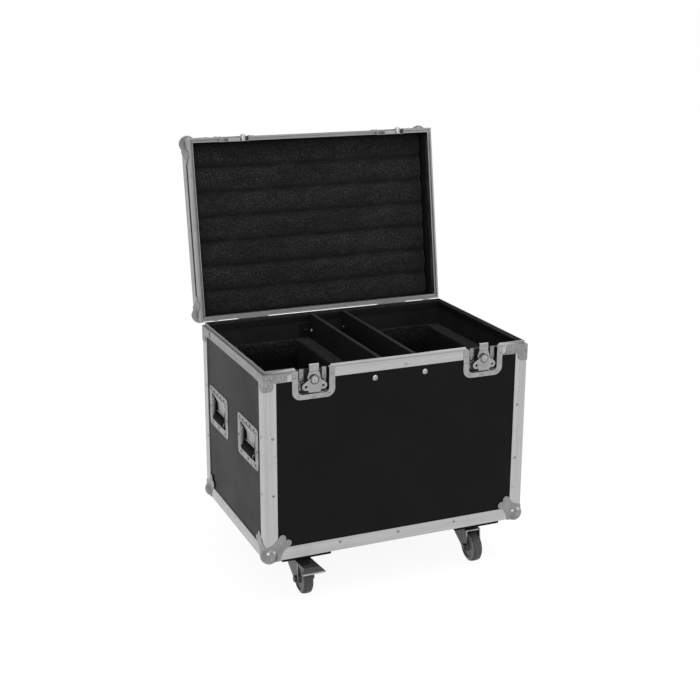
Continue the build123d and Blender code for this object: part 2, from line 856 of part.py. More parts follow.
upright = Rot(0, 0, 0)
opened = Rot(0, 0, -lid_open_angle)
base_web_foot = -hinge_web_height - hinge_knuckle_gap
with BuildPart() as hinge_base_leaves:
    for s in end_signs:
        whole = knuckle_plane(0, s * hinge_offset)
        add(hinge_leaf(whole, -hinge_leaf_height - hinge_knuckle_gap, upright))
        for index in range(0, hinge_knuckles, 2):
            plane = knuckle_plane(index, s * hinge_offset)
            add(hinge_knuckle(plane, base_web_foot, upright))
            with BuildSketch(plane):
                with Locations(opened):
                    with Locations((stop_face, 0)):
                        Rectangle(stop_thickness, stop_reach, align=Align.MIN)
            extrude(amount=knuckle_length)
        add(pin_bore(whole), mode=Mode.SUBTRACT)
save(hinge_base_leaves, "hinge_base_leaves")

with BuildPart() as hinge_lid_leaves:
    for s in end_signs:
        whole = knuckle_plane(0, s * hinge_offset)
        add(hinge_leaf(whole, lid_leaf_foot, opened))
        for index in range(1, hinge_knuckles, 2):
            add(hinge_knuckle(knuckle_plane(index, s * hinge_offset), lid_leaf_foot, opened))
        add(pin_bore(whole), mode=Mode.SUBTRACT)
save(hinge_lid_leaves, "hinge_lid_leaves")

with BuildPart() as hinge_pins:
    for s in end_signs:
        with BuildSketch(knuckle_plane(0, s * hinge_offset)):
            Circle(hinge_pin_radius)
        extrude(amount=hinge_width)
        for end, way in ((0, -1), (hinge_width, 1)):
            with BuildSketch(knuckle_plane(0, s * hinge_offset).offset(end)):
                Circle(hinge_head_radius)
            extrude(amount=way * hinge_head_height)
save(hinge_pins, "hinge_pins")

# Dividers: two boards on the floor, held by angle brackets at the front and back walls
divider_outer = divider_offset + divider_thickness / 2
divider_half_length = case_depth / 2 - inner_face
divider_top_half_length = case_depth / 2 - wall - fit_gap
divider_shoulder = ledge - rim_inner_flange - fit_gap
floor_top = base_bottom + inner_face
bolt_level = base_bottom + bolt_height
bolt_from_middle = divider_half_length - bolt_setback
for s, name in zip(end_signs, ("left", "right")):
    with BuildPart() as divider:
        with BuildSketch(Plane.YZ.offset(s * divider_offset)):
            with BuildLine():
                Polyline(
                    (-divider_half_length, floor_top),
                    (divider_half_length, floor_top),
                    (divider_half_length, divider_shoulder),
                    (divider_top_half_length, divider_shoulder),
                    (divider_top_half_length, ledge + divider_rise),
                    (-divider_top_half_length, ledge + divider_rise),
                    (-divider_top_half_length, divider_shoulder),
                    (-divider_half_length, divider_shoulder),
                    close=True,
                )
            make_face()
            with Locations((-bolt_from_middle, bolt_level), (bolt_from_middle, bolt_level)):
                Circle(bolt_hole_radius, mode=Mode.SUBTRACT)
        extrude(amount=divider_thickness / 2, both=True)
    save(divider, f"divider_{name}")

# Brackets, drawn beside the right divider at the front and mirrored round, and their bolts
with BuildPart() as bracket:
    with BuildSketch(Plane.XY.offset(bolt_level - bracket_height / 2)):
        with BuildLine():
            Polyline(
                (divider_outer, -divider_half_length),
                (divider_outer + bracket_leg, -divider_half_length),
                (divider_outer + bracket_leg, bracket_gauge - divider_half_length),
                (divider_outer + bracket_gauge, bracket_gauge - divider_half_length),
                (divider_outer + bracket_gauge, bracket_leg - divider_half_length),
                (divider_outer, bracket_leg - divider_half_length),
                close=True,
            )
        make_face()
    extrude(amount=bracket_height)
    with BuildSketch(Plane.XZ.offset(divider_half_length)):
        with Locations((bolt_offset, bolt_level)):
            Circle(bolt_hole_radius)
    extrude(amount=-bracket_gauge, mode=Mode.SUBTRACT)
    with BuildSketch(Plane.YZ.offset(divider_outer)):
        with Locations((-bolt_from_middle, bolt_level)):
            Circle(bolt_hole_radius)
    extrude(amount=bracket_gauge, mode=Mode.SUBTRACT)


def bolt(gripped):
    """A bolt through a thickness below z = 0: bevelled head with a socket, and a hexagon nut."""
    with BuildPart() as piece:
        with BuildSketch(Plane.XZ):
            with BuildLine():
                Polyline(
                    (0, bolt_head_height - bolt_socket_depth),
                    (bolt_socket_radius, bolt_head_height - bolt_socket_depth),
                    (bolt_socket_radius, bolt_head_height),
                    (bolt_head_radius - bolt_head_bevel, bolt_head_height),
                    (bolt_head_radius, bolt_head_height - bolt_head_bevel),
                    (bolt_head_radius, 0),
                    (bolt_radius, 0),
                    (bolt_radius, -gripped),
                    (0, -gripped),
                    close=True,
                )
            make_face()
        revolve(axis=Axis.Z)
        with BuildSketch(Plane.XY.offset(-gripped)):
            RegularPolygon(bolt_nut_radius, 6)
        extrude(amount=-bolt_nut_height)
    return piece.part


wall_bolt = bolt(panel_thickness + bracket_gauge)
divider_bolt = bolt(divider_thickness + bracket_gauge)
with BuildPart() as divider_brackets:
    for sx, sy in corner_signs:
        copy = bracket.part if sx > 0 else mirror(bracket.part, about=Plane.YZ, mode=Mode.PRIVATE)
        add(copy if sy < 0 else mirror(copy, about=Plane.XZ, mode=Mode.PRIVATE))
save(divider_brackets, "divider_brackets")

with BuildPart() as divider_bolts:
    for sx, sy in corner_signs:
        wall_seat = (sx * bolt_offset, sy * (case_depth / 2 - edge_gauge), bolt_level)
        divider_seat = (sx * (divider_outer + bracket_gauge), sy * bolt_from_middle, bolt_level)
        add(Plane(origin=wall_seat, z_dir=(0, sy, 0)).location * wall_bolt)
        add(Plane(origin=divider_seat, z_dir=(sx, 0, 0)).location * divider_bolt)
save(divider_bolts, "divider_bolts")

# Foam in the two outer compartments: floor pads, liners on the front and back walls, and
# blocks beside the end panels and the dividers, with pockets round the handle dishes
pad_inner = divider_outer + foam_gap
pad_outer = case_width / 2 - inner_face - foam_gap
pad_half_length = divider_half_length - foam_gap
pad_top = floor_top + foam_floor_thickness
foam_level = base_bottom + foam_top
foam_foot = pad_top + foam_gap
liner_inner_face = pad_half_length - foam_liner_thickness
block_half_length = liner_inner_face - foam_gap
with BuildPart() as foam_floor_pads:
    for s in end_signs:
        with BuildSketch(Plane.XY.offset(floor_top)):
            with Locations((s * (pad_inner + pad_outer) / 2, 0)):
                Rectangle(pad_outer - pad_inner, 2 * pad_half_length)
        extrude(amount=foam_floor_thickness)
save(foam_floor_pads, "foam_floor_pads")

with BuildPart() as foam_wall_liners:
    for sx, sy in corner_signs:
        with BuildSketch(Plane.XY.offset(foam_foot)):
            middle = sx * (pad_inner + pad_outer) / 2
            with Locations((middle, sy * (pad_half_length - foam_liner_thickness / 2))):
                Rectangle(pad_outer - pad_inner, foam_liner_thickness)
        extrude(amount=foam_level - foam_foot)
save(foam_wall_liners, "foam_wall_liners")

pocket_half_width = handle_cut_width / 2 + foam_gap
pocket_half_height = handle_cut_height / 2 + foam_gap
pocket_face = case_width / 2 - handle_depth - foam_gap
with BuildPart() as foam_blocks:
    for s in end_signs:
        with BuildSketch(Plane.XY.offset(foam_foot)):
            with Locations((s * (pad_inner + foam_block_width / 2), 0)):
                Rectangle(foam_block_width, 2 * block_half_length)
            with Locations((s * (pad_outer - foam_block_width / 2), 0)):
                Rectangle(foam_block_width, 2 * block_half_length)
        extrude(amount=foam_level - foam_foot)
        with BuildSketch(Plane.YZ.offset(s * pocket_face)):
            with Locations(*[(way * handle_offset, base_bottom + handle_height) for way in end_signs]):
                Rectangle(2 * pocket_half_width, 2 * pocket_half_height)
        extrude(amount=s * handle_depth, mode=Mode.SUBTRACT)
save(foam_blocks, "foam_blocks")

# Castors, drawn round their swivel axis with the ground at z = 0 and the wheel trailing to -Y
plate_underside = castor_height - castor_plate_gauge
race_underside = plate_underside - race_height
crown_top = race_underside - race_gap
crown_underside = crown_top - crown_height
head_plate_underside = crown_underside - leg_gauge
leg_inner = wheel_hub_length / 2 + leg_gap
fork_half_width = leg_inner + leg_gauge
kingpin_length = plate_underside - head_plate_underside + race_gap
axle_place = (-castor_trail, wheel_radius)

with BuildPart() as castor_board:
    with BuildSketch(Plane.XY.offset(castor_height)):
        RectangleRounded(board_side, board_side, board_round)
    extrude(amount=board_thickness)
    # A rebate clears the ball corner's plate under the trunk
    with BuildSketch(Plane.XY.offset(base_bottom)):
        with Locations((-board_side / 2, -board_side / 2)):
            Rectangle(
                lobe_reach + fit_gap - board_side_inset,
                lobe_reach + fit_gap - board_front_inset,
                align=Align.MIN,
            )
    extrude(amount=-(corner_gauge + fit_gap), mode=Mode.SUBTRACT)

with BuildPart() as castor_plate:
    with BuildSketch(Plane.XY.offset(plate_underside)):
        RectangleRounded(castor_plate_width, castor_plate_length, castor_plate_round)
    extrude(amount=castor_plate_gauge)
    with BuildSketch(Plane.XY.offset(plate_underside)):
        Circle(race_radius)
    extrude(amount=-race_height)
    with BuildSketch(Plane.XY.offset(plate_underside)):
        Circle(kingpin_radius)
    extrude(amount=-kingpin_length)
    with BuildSketch(Plane.XY.offset(plate_underside - kingpin_length)):
        Circle(kingpin_head_radius)
    extrude(amount=-kingpin_head_height)
pedal_pivot = (-pedal_pivot_forward, crown_underside - pedal_pivot_drop)


def castor_fork(braked):
    """Swivel head, two legs and the axle bolt across them, with ears for a pedal if braked."""
    with BuildPart() as fork:
        with BuildSketch(Plane.XY.offset(crown_underside)):
            Circle(crown_radius)
        extrude(amount=crown_height)
        chamfer(edges().group_by(Axis.Z)[0], length=crown_bevel)
        with BuildSketch(Plane.XY.offset(head_plate_underside)):
            with Locations((0, -leg_front)):
                Rectangle(2 * fork_half_width, leg_front + leg_rear, align=(Align.CENTER, Align.MIN))
        extrude(amount=leg_gauge)
        with BuildSketch(Plane.YZ.offset(leg_inner)):
            with BuildLine():
                Polyline(
                    (-leg_front, crown_underside),
                    (leg_rear, crown_underside),
                    (leg_rear, crown_underside - leg_rear_drop),
                    close=True,
                )
            make_face()
            with Locations(axle_place):
                Circle(leg_boss_radius)
            make_hull()
            if braked:
                with Locations(pedal_pivot):
                    Circle(pedal_ear_radius)
                    Rectangle(pedal_pivot_forward - leg_front, pedal_ear_radius, align=Align.MIN)
        extrude(amount=leg_gauge)
        mirror(about=Plane.YZ)
        with BuildSketch(Plane.XY.offset(head_plate_underside)):
            Circle(kingpin_radius + kingpin_clearance)
        extrude(amount=leg_gauge + crown_height, mode=Mode.SUBTRACT)
        with BuildSketch(Plane.YZ.offset(-fork_half_width)):
            with Locations(axle_place):
                Circle(axle_radius)
        extrude(amount=2 * fork_half_width)
        for s in end_signs:
            with BuildSketch(Plane.YZ.offset(s * fork_half_width)):
                with Locations(axle_place):
                    RegularPolygon(nut_radius, 6)
            extrude(amount=s * nut_height)
        if braked:
            with BuildSketch(Plane.YZ.offset(-fork_half_width)):
                with Locations(pedal_pivot):
                    Circle(pedal_pin_radius)
            extrude(amount=2 * fork_half_width)
    return fork.part


# Brake pedal: a sheet from a barrel between the fork's ears out to a flared tip, grooved across
pedal_root_half_width = leg_inner - pedal_side_gap
pedal_shoulder = -pedal_pivot_forward - pedal_ear_radius - pedal_side_gap
pedal_foot = pedal_pivot[1] + pedal_barrel_radius
pedal_knee = (-pedal_knee_forward, pedal_foot + pedal_knee_rise)
pedal_tip = (-pedal_tip_forward, pedal_foot - pedal_tip_fall)
skirt_start = pedal_shoulder - pedal_gauge


def pedal_level(y):
    """Height of the pedal's upper face between the pivot and the knee."""
    share = (pedal_pivot[0] - y) / (pedal_pivot[0] - pedal_knee[0])
    return pedal_foot + share * pedal_knee_rise


with BuildPart() as brake_pedal:
    with BuildSketch(Plane.YZ.offset(-pedal_tip_half_width)):
        with BuildLine():
            Polyline(
                (pedal_pivot[0], pedal_foot),
                pedal_knee,
                pedal_tip,
                (pedal_tip[0], pedal_tip[1] - pedal_gauge / 2),
                (pedal_knee[0], pedal_knee[1] - pedal_gauge),
                (pedal_pivot[0], pedal_foot - pedal_gauge),
                close=True,
            )
        make_face()
        # Grooves for the foot's grip between the pivot and the knee
        groove_pitch = (pedal_knee_forward + pedal_shoulder) / (pedal_grooves + 1)
        for number in range(pedal_grooves):
            groove_y = pedal_shoulder - (number + 1) * groove_pitch
            with Locations((groove_y, pedal_level(groove_y))):
                Rectangle(2 * pedal_groove, 2 * pedal_groove, mode=Mode.SUBTRACT)
    extrude(amount=2 * pedal_tip_half_width)
    with BuildSketch():
        with BuildLine():
            Polyline(
                (-pedal_root_half_width, pedal_pivot[0]),
                (pedal_root_half_width, pedal_pivot[0]),
                (pedal_root_half_width, pedal_shoulder),
                (fork_half_width, skirt_start),
                (fork_half_width, pedal_knee[0]),
                (pedal_tip_half_width, pedal_tip[0]),
                (-pedal_tip_half_width, pedal_tip[0]),
                (-fork_half_width, pedal_knee[0]),
                (-fork_half_width, skirt_start),
                (-pedal_root_half_width, pedal_shoulder),
                close=True,
            )
        make_face()
    extrude(amount=castor_height, mode=Mode.INTERSECT)
    # Skirts stiffen the sides, and the tip has a lip turned down
    for s in end_signs:
        with BuildSketch(Plane.YZ.offset(s * fork_half_width)):
            with BuildLine():
                Polyline(
                    (skirt_start, pedal_level(skirt_start) - pedal_gauge / 2),
                    (skirt_start, pedal_level(skirt_start) - pedal_skirt_start_drop),
                    (pedal_knee[0], pedal_knee[1] - pedal_skirt_drop),
                    (pedal_knee[0], pedal_knee[1] - pedal_gauge / 2),
                    close=True,
                )
            make_face()
        extrude(amount=-s * leg_gauge)
    with BuildSketch(Plane.YZ.offset(-pedal_tip_half_width)):
        with Locations(pedal_tip):
            Rectangle(pedal_gauge / 2, pedal_lip_drop, align=(Align.MIN, Align.MAX))
    extrude(amount=2 * pedal_tip_half_width)
    with BuildSketch(Plane.YZ.offset(-pedal_root_half_width)):
        with Locations(pedal_pivot):
            Circle(pedal_barrel_radius)
    extrude(amount=2 * pedal_root_half_width)
    with BuildSketch(Plane.YZ.offset(-pedal_root_half_width)):
        with Locations(pedal_pivot):
            Circle(pedal_pin_radius + pedal_pin_clearance)
    extrude(amount=2 * pedal_root_half_width, mode=Mode.SUBTRACT)

# Castor wheel: a rounded tyre on a dished centre, turned about the axle
with BuildPart() as castor_wheel:
    with BuildSketch(Plane.XY):
        with BuildLine():
            Polyline(
                (-wheel_hub_length / 2, axle_radius + axle_clearance),
                (-wheel_hub_length / 2, wheel_hub_radius),
                (wheel_dish - wheel_width / 2, wheel_hub_radius),
                (wheel_dish - wheel_width / 2, wheel_core_radius),
                (-wheel_width / 2, wheel_core_radius),
                (-wheel_width / 2, wheel_radius),
                (wheel_width / 2, wheel_radius),
                (wheel_width / 2, wheel_core_radius),
                (wheel_width / 2 - wheel_dish, wheel_core_radius),
                (wheel_width / 2 - wheel_dish, wheel_hub_radius),
                (wheel_hub_length / 2, wheel_hub_radius),
                (wheel_hub_length / 2, axle_radius + axle_clearance),
                close=True,
            )
        make_face()
        fillet(vertices().group_by(Axis.Y)[-1], radius=tread_round)
    revolve(axis=Axis.X)

castor_places = [Pos(sx * castor_x, sy * castor_y, 0) for sx, sy in corner_signs]
with BuildPart() as castor_boards:
    for sx, sy in corner_signs:
        board = castor_board.part
        board = board if sx < 0 else mirror(board, about=Plane.YZ, mode=Mode.PRIVATE)
        board = board if sy < 0 else mirror(board, about=Plane.XZ, mode=Mode.PRIVATE)
        add(Pos(sx * castor_x, sy * castor_y, 0) * board)
save(castor_boards, "castor_boards")
with BuildPart() as castor_plates:
    for place in castor_places:
        add(place * castor_plate.part)
save(castor_plates, "castor_plates")
for place, name in zip(castor_places, corner_names):
    braked = name.endswith("left")
    with BuildPart() as placed:
        add(place * castor_fork(braked))
    save(placed, f"castor_fork_{name}")
    with BuildPart() as placed:
        add(place * Pos(0, -castor_trail, wheel_radius) * castor_wheel.part)
    save(placed, f"castor_wheel_{name}")
    if braked:
        with BuildPart() as placed:
            add(place * brake_pedal.part)
        save(placed, f"brake_pedal_{name}")

# Lid: top and side panels, edge angles, grooved rim, ball corners and its half of the latches
lid_side_foot = groove_depth + edge_gauge
lid_side_top = lid_top - inner_face
with BuildPart() as lid_top_panel:
    with BuildSketch(lid_frame.offset(lid_side_top)):
        Rectangle(case_width - 2 * edge_gauge, case_depth - 2 * edge_gauge)
    extrude(amount=panel_thickness)
save(lid_top_panel, "lid_top_panel")

front_of_lid = side_plane(lid_frame, 0)
lid_latch_planes = [
    Plane(
        origin=front_of_lid.from_local_coords((s * latch_offset, 0, 0)),
        x_dir=-front_of_lid.x_dir,
        z_dir=front_of_lid.z_dir,
    )
    for s in end_signs
]
lid_cut_rise = lid_dish_opening_rise + dish_gauge + fit_gap
with BuildPart() as lid_side_panels:
    for side in range(4):
        run, across = run_and_across(side)
        with BuildSketch(side_plane(lid_frame, side).offset(-edge_gauge)):
            with Locations((0, lid_side_foot)):
                width = run - 2 * (edge_gauge if side % 2 == 0 else inner_face + mitre_gap)
                Rectangle(width, lid_side_top - lid_side_foot, align=(Align.CENTER, Align.MIN))
            if side == 0:
                with Locations(*[(s * latch_offset, lid_cut_rise) for s in end_signs]):
                    RectangleRounded(
                        latch_cut_width,
                        lid_cut_rise + cut_overrun,
                        latch_cut_round,
                        align=(Align.CENTER, Align.MAX),
                        mode=Mode.SUBTRACT,
                    )
        extrude(amount=-panel_thickness)
save(lid_side_panels, "lid_side_panels")

lid_edge_outline = (
    (0, lid_top),
    (edge_leg, lid_top),
    (edge_leg, lid_top - edge_gauge),
    (edge_gauge, lid_top - edge_gauge),
    (edge_gauge, lid_top - edge_leg),
    (0, lid_top - edge_leg),
)
with BuildPart() as lid_edge_angles:
    for side in range(4):
        add(mitred_bar(lid_frame, side, lid_edge_outline))
    add(corner_angles(lid_frame, lid_rim_flange, lid_top - edge_leg - mitre_gap))
save(lid_edge_angles, "lid_edge_angles")

groove_outer = tongue_setback - groove_gap
groove_inner = tongue_end + groove_gap
lid_rim_outline = (
    (0, 0),
    (groove_outer, 0),
    (groove_outer, groove_depth),
    (groove_inner, groove_depth),
    (groove_inner, 0),
    (wall, 0),
    (wall, lid_rim_inner_flange),
    (inner_face, lid_rim_inner_flange),
    (inner_face, groove_depth + edge_gauge),
    (edge_gauge, groove_depth + edge_gauge),
    (edge_gauge, lid_rim_flange),
    (0, lid_rim_flange),
)
with BuildPart() as lid_rim:
    for side in range(4):
        add(mitred_bar(lid_frame, side, lid_rim_outline))
    for plane in lid_latch_planes:
        with BuildSketch(plane.offset(edge_gauge)):
            Rectangle(latch_cut_width, 2 * cut_overrun)
        extrude(amount=-(wall + 2 * edge_gauge), mode=Mode.SUBTRACT)
save(lid_rim, "lid_rim")

with BuildPart() as shut_lid_corners:
    for sx, sy in corner_signs:
        add(at_corner(ball_corner.part, Plane.XY, sx, sy, lid_top, flip=True))
with BuildPart() as lid_ball_corners:
    add(lid_frame.location * shut_lid_corners.part)
save(lid_ball_corners, "lid_ball_corners")

lid_dish = dish(
    dish_width,
    lid_dish_rise,
    dish_opening_width,
    lid_dish_opening_rise,
    dish_round,
    dish_opening_round,
    lid_rim_flange + fit_gap,
)
with BuildPart() as lid_latch_dishes:
    for plane in lid_latch_planes:
        add(plane.location * lid_dish)
save(lid_latch_dishes, "lid_latch_dishes")

# Keepers: a foot on the dish's back, a web forward and a lip that stands under the lowered hook
keeper_face = hook_travel_in - hook_proud + keeper_gap
keeper_top = hook_top_rise - hook_gauge - hook_travel_down - keeper_gap - parting_gap
with BuildPart() as latch_keeper:
    with BuildSketch(Plane.YZ):
        with BuildLine():
            Polyline(
                (-keeper_foot_rise, -dish_back),
                (-keeper_web_rise, -dish_back),
                (-keeper_web_rise, -keeper_face),
                (-keeper_top, -keeper_face),
                (-keeper_top, -keeper_face - keeper_thickness),
                (-keeper_web_rise - keeper_gauge, -keeper_face - keeper_thickness),
                (-keeper_web_rise - keeper_gauge, keeper_gauge - dish_back),
                (-keeper_foot_rise, keeper_gauge - dish_back),
                close=True,
            )
        make_face()
    extrude(amount=keeper_width / 2, both=True)
with BuildPart() as latch_keepers:
    for plane in lid_latch_planes:
        add(plane.location * latch_keeper.part)
save(latch_keepers, "latch_keepers")

# Lid foam: a pad with soft ridges across it
lid_foam_half_length = case_depth / 2 - inner_face - foam_gap
lid_foam_width = case_width - 2 * (inner_face + lid_foam_side_gap)
ridge_pitch = 2 * lid_foam_half_length / lid_foam_ridges
foam_valley = lid_side_top - lid_foam_web
end_of_foam = Plane(
    origin=lid_frame.from_local_coords((-lid_foam_width / 2, 0, 0)),
    x_dir=lid_frame.y_dir,
    z_dir=lid_frame.x_dir,
)
with BuildPart() as lid_foam:
    with BuildSketch(end_of_foam):
        with BuildLine():
            Polyline(
                (-lid_foam_half_length, foam_valley),
                (-lid_foam_half_length, lid_side_top),
                (lid_foam_half_length, lid_side_top),
                (lid_foam_half_length, foam_valley),
            )
            for number in range(lid_foam_ridges):
                start = number * ridge_pitch - lid_foam_half_length
                ThreePointArc(
                    (start, foam_valley),
                    (start + ridge_pitch / 2, foam_valley - lid_foam_crown),
                    (start + ridge_pitch, foam_valley),
                )
        make_face()
    extrude(amount=lid_foam_width)
save(lid_foam, "lid_foam")
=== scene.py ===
import math
from itertools import product

import bmesh
import bpy
from mathutils import Matrix, Vector, noise
from mathutils.bvhtree import BVHTree


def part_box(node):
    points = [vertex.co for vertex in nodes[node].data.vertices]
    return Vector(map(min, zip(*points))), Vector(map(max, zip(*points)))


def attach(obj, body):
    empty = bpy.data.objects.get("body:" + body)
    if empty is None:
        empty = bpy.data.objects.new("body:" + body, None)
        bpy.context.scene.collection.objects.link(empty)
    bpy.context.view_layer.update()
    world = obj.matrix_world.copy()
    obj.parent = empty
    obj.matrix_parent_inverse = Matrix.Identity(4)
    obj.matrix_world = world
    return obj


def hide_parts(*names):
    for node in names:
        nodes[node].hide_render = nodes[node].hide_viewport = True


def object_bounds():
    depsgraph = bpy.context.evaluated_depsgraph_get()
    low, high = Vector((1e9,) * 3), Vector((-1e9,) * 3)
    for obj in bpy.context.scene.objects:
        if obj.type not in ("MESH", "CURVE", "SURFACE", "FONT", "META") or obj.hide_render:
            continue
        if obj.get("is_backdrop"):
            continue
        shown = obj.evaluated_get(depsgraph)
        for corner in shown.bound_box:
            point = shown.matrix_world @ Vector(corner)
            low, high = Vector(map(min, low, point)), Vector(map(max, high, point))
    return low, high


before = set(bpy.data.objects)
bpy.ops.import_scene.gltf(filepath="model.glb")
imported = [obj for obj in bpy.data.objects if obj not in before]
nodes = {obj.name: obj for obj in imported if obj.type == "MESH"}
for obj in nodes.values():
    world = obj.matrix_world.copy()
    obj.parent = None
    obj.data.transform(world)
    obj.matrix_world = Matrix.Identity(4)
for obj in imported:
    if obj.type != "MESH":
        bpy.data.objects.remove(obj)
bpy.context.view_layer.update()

# Sizes of the case in millimetres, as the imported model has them; MM turns them into metres
MM = 0.001
WIDTH, DEPTH, HEIGHT = 660.0, 450.0, 445.0
RUNS = (WIDTH, DEPTH, WIDTH, DEPTH)
BASE_BOTTOM = 113.0
LEDGE = BASE_BOTTOM + HEIGHT
LID_TOP, LID_ANGLE = 64.6, 98.8
HINGE_X, HINGE_Y, HINGE_Z = 192.5, 231.6, 556.6
LID_FOOT_OVER_HINGE = 1.8
LATCH_X, HUB_DROP = 212.0, 21.7
HANDLE_X, HANDLE_Z = 110.5, 254.0
CASTOR_X, CASTOR_Y, CASTOR_BOARD = 222.6, 145.4, 18.0

# Limits in millimetres by which faces are picked for their looks
EDGE_LEG = 30.0
TONGUE_END = 9.0
RECESS_Y = -DEPTH / 2 + 4
GUIDE_Y = -DEPTH / 2 + 7.5
UNDER_WING_Z = LEDGE - 44
RECESS_X = WIDTH / 2 - 2.5
PEDAL_FACET = 17.0

# Heights in metres over which painted shade on the trunk's foam fades out upwards
FOAM_DARK_Z, FOAM_LIT_Z = 0.45, 0.485


# Places
def place(origin, x_axis, z_axis):
    """Matrix of a local frame in millimetres, from its origin, x and z."""
    x, z = Vector(x_axis).normalized(), Vector(z_axis).normalized()
    turn = Matrix((x, z.cross(x), z)).transposed().to_4x4()
    return Matrix.Translation(Vector(origin)) @ turn


def side_frame(side, foot):
    """Outer face of side 0 front, 1 right, 2 back, 3 left: x along it, y up, z outwards."""
    angle = math.radians(90 * side)
    along = (math.cos(angle), math.sin(angle), 0)
    out = (math.sin(angle), -math.cos(angle), 0)
    reach = (DEPTH if side % 2 == 0 else WIDTH) / 2
    return place((out[0] * reach, out[1] * reach, foot), along, out)


TRUNK = [side_frame(side, BASE_BOTTOM) for side in range(4)]
LID = (
    Matrix.Translation((0, HINGE_Y, HINGE_Z))
    @ Matrix.Rotation(math.radians(-LID_ANGLE), 4, "X")
    @ Matrix.Translation((0, -HINGE_Y, LID_FOOT_OVER_HINGE))
)
LID_SIDES = [LID @ side_frame(side, 0) for side in range(4)]


# Materials: several sockets of a mix node share a name, so those for colours go by number
MIX_FACTOR, MIX_A, MIX_B, MIX_RESULT = 0, 6, 7, 2


class Shader:
    """A material's node tree with short calls for its nodes."""

    def __init__(self, name, rough=0.5, metal=0.0, ior=1.45, spec=0.5):
        self.material = bpy.data.materials.new(name)
        self.material.use_nodes = True
        self.tree = self.material.node_tree
        self.bsdf = self.tree.nodes["Principled BSDF"]
        self.bsdf.inputs["Roughness"].default_value = rough
        self.bsdf.inputs["Metallic"].default_value = metal
        self.bsdf.inputs["IOR"].default_value = ior
        self.bsdf.inputs["Specular IOR Level"].default_value = spec
        self.place = self.node("ShaderNodeTexCoord").outputs["Object"]

    def node(self, kind, **settings):
        made = self.tree.nodes.new(kind)
        for name, value in settings.items():
            setattr(made, name, value)
        return made

    def link(self, source, target):
        self.tree.links.new(source, target)

    def stretched(self, scale, turn=(0, 0, 0)):
        """Object coordinates scaled apart along the axes."""
        mapping = self.node("ShaderNodeMapping")
        mapping.inputs["Scale"].default_value = scale
        mapping.inputs["Rotation"].default_value = turn
        self.link(self.place, mapping.inputs["Vector"])
        return mapping.outputs["Vector"]

    def noise(self, scale, detail, rough=0.55, vector=None):
        made = self.node("ShaderNodeTexNoise")
        made.inputs["Scale"].default_value = scale
        made.inputs["Detail"].default_value = detail
        made.inputs["Roughness"].default_value = rough
        self.link(vector or self.place, made.inputs["Vector"])
        return made.outputs["Fac"]

    def cells(self, scale, output="Distance"):
        made = self.node("ShaderNodeTexVoronoi")
        made.inputs["Scale"].default_value = scale
        self.link(self.place, made.inputs["Vector"])
        return made.outputs[output]

    def spread(self, value, low, high, to_low=0.0, to_high=1.0):
        """Maps a value's range between two limits to another, and holds it there."""
        made = self.node("ShaderNodeMapRange")
        made.inputs["From Min"].default_value = low
        made.inputs["From Max"].default_value = high
        made.inputs["To Min"].default_value = to_low
        made.inputs["To Max"].default_value = to_high
        self.link(value, made.inputs["Value"])
        return made.outputs["Result"]

    def added(self, a, b):
        made = self.node("ShaderNodeMath", operation="ADD")
        self.link(a, made.inputs[0])
        self.link(b, made.inputs[1])
        return made.outputs["Value"]

    def mix(self, factor, dark, bright):
        """Colour between two greys or sockets."""
        made = self.node("ShaderNodeMix", data_type="RGBA")
        self.link(factor, made.inputs[MIX_FACTOR])
        for number, value in ((MIX_A, dark), (MIX_B, bright)):
            if isinstance(value, tuple):
                made.inputs[number].default_value = (*value, 1.0)
            else:
                self.link(value, made.inputs[number])
        return made.outputs[MIX_RESULT]

    def colour(self, socket):
        self.link(socket, self.bsdf.inputs["Base Color"])

    def roughness(self, socket):
        self.link(socket, self.bsdf.inputs["Roughness"])

    def bump(self, height, strength, distance):
        """Adds a bump on top of those before it, its distance in metres."""
        made = self.node("ShaderNodeBump")
        made.inputs["Strength"].default_value = strength
        made.inputs["Distance"].default_value = distance
        self.link(height, made.inputs["Height"])
        if self.bsdf.inputs["Normal"].links:
            self.link(self.bsdf.inputs["Normal"].links[0].from_socket, made.inputs["Normal"])
        self.link(made.outputs["Normal"], self.bsdf.inputs["Normal"])


def grey(value):
    """A grey that is very slightly cool."""
    return (value, value, value * 1.01)


def laminate(name, low, high, rough, ior):
    """Black laminated plywood: a fine pebble, faint cloudiness and a few rubbed scratches."""
    s = Shader(name, rough=rough, ior=ior)
    cloud = s.noise(6.0, 4.0, 0.6)
    scratches = s.noise(14.0, 2.0, 0.5, s.stretched((1.0, 1.0, 22.0), (0.2, 0.6, 0.0)))
    base = s.mix(s.spread(cloud, 0.3, 0.7), grey(low), grey(high))
    s.colour(s.mix(s.spread(scratches, 0.72, 0.8, 0.0, 0.25), base, grey(high * 4)))
    s.roughness(s.spread(cloud, 0.3, 0.7, rough - 0.05, rough + 0.07))
    s.bump(s.cells(900.0), 0.35, 0.00012)
    s.bump(s.noise(35.0, 2.0), 0.12, 0.0004)
    return s.material


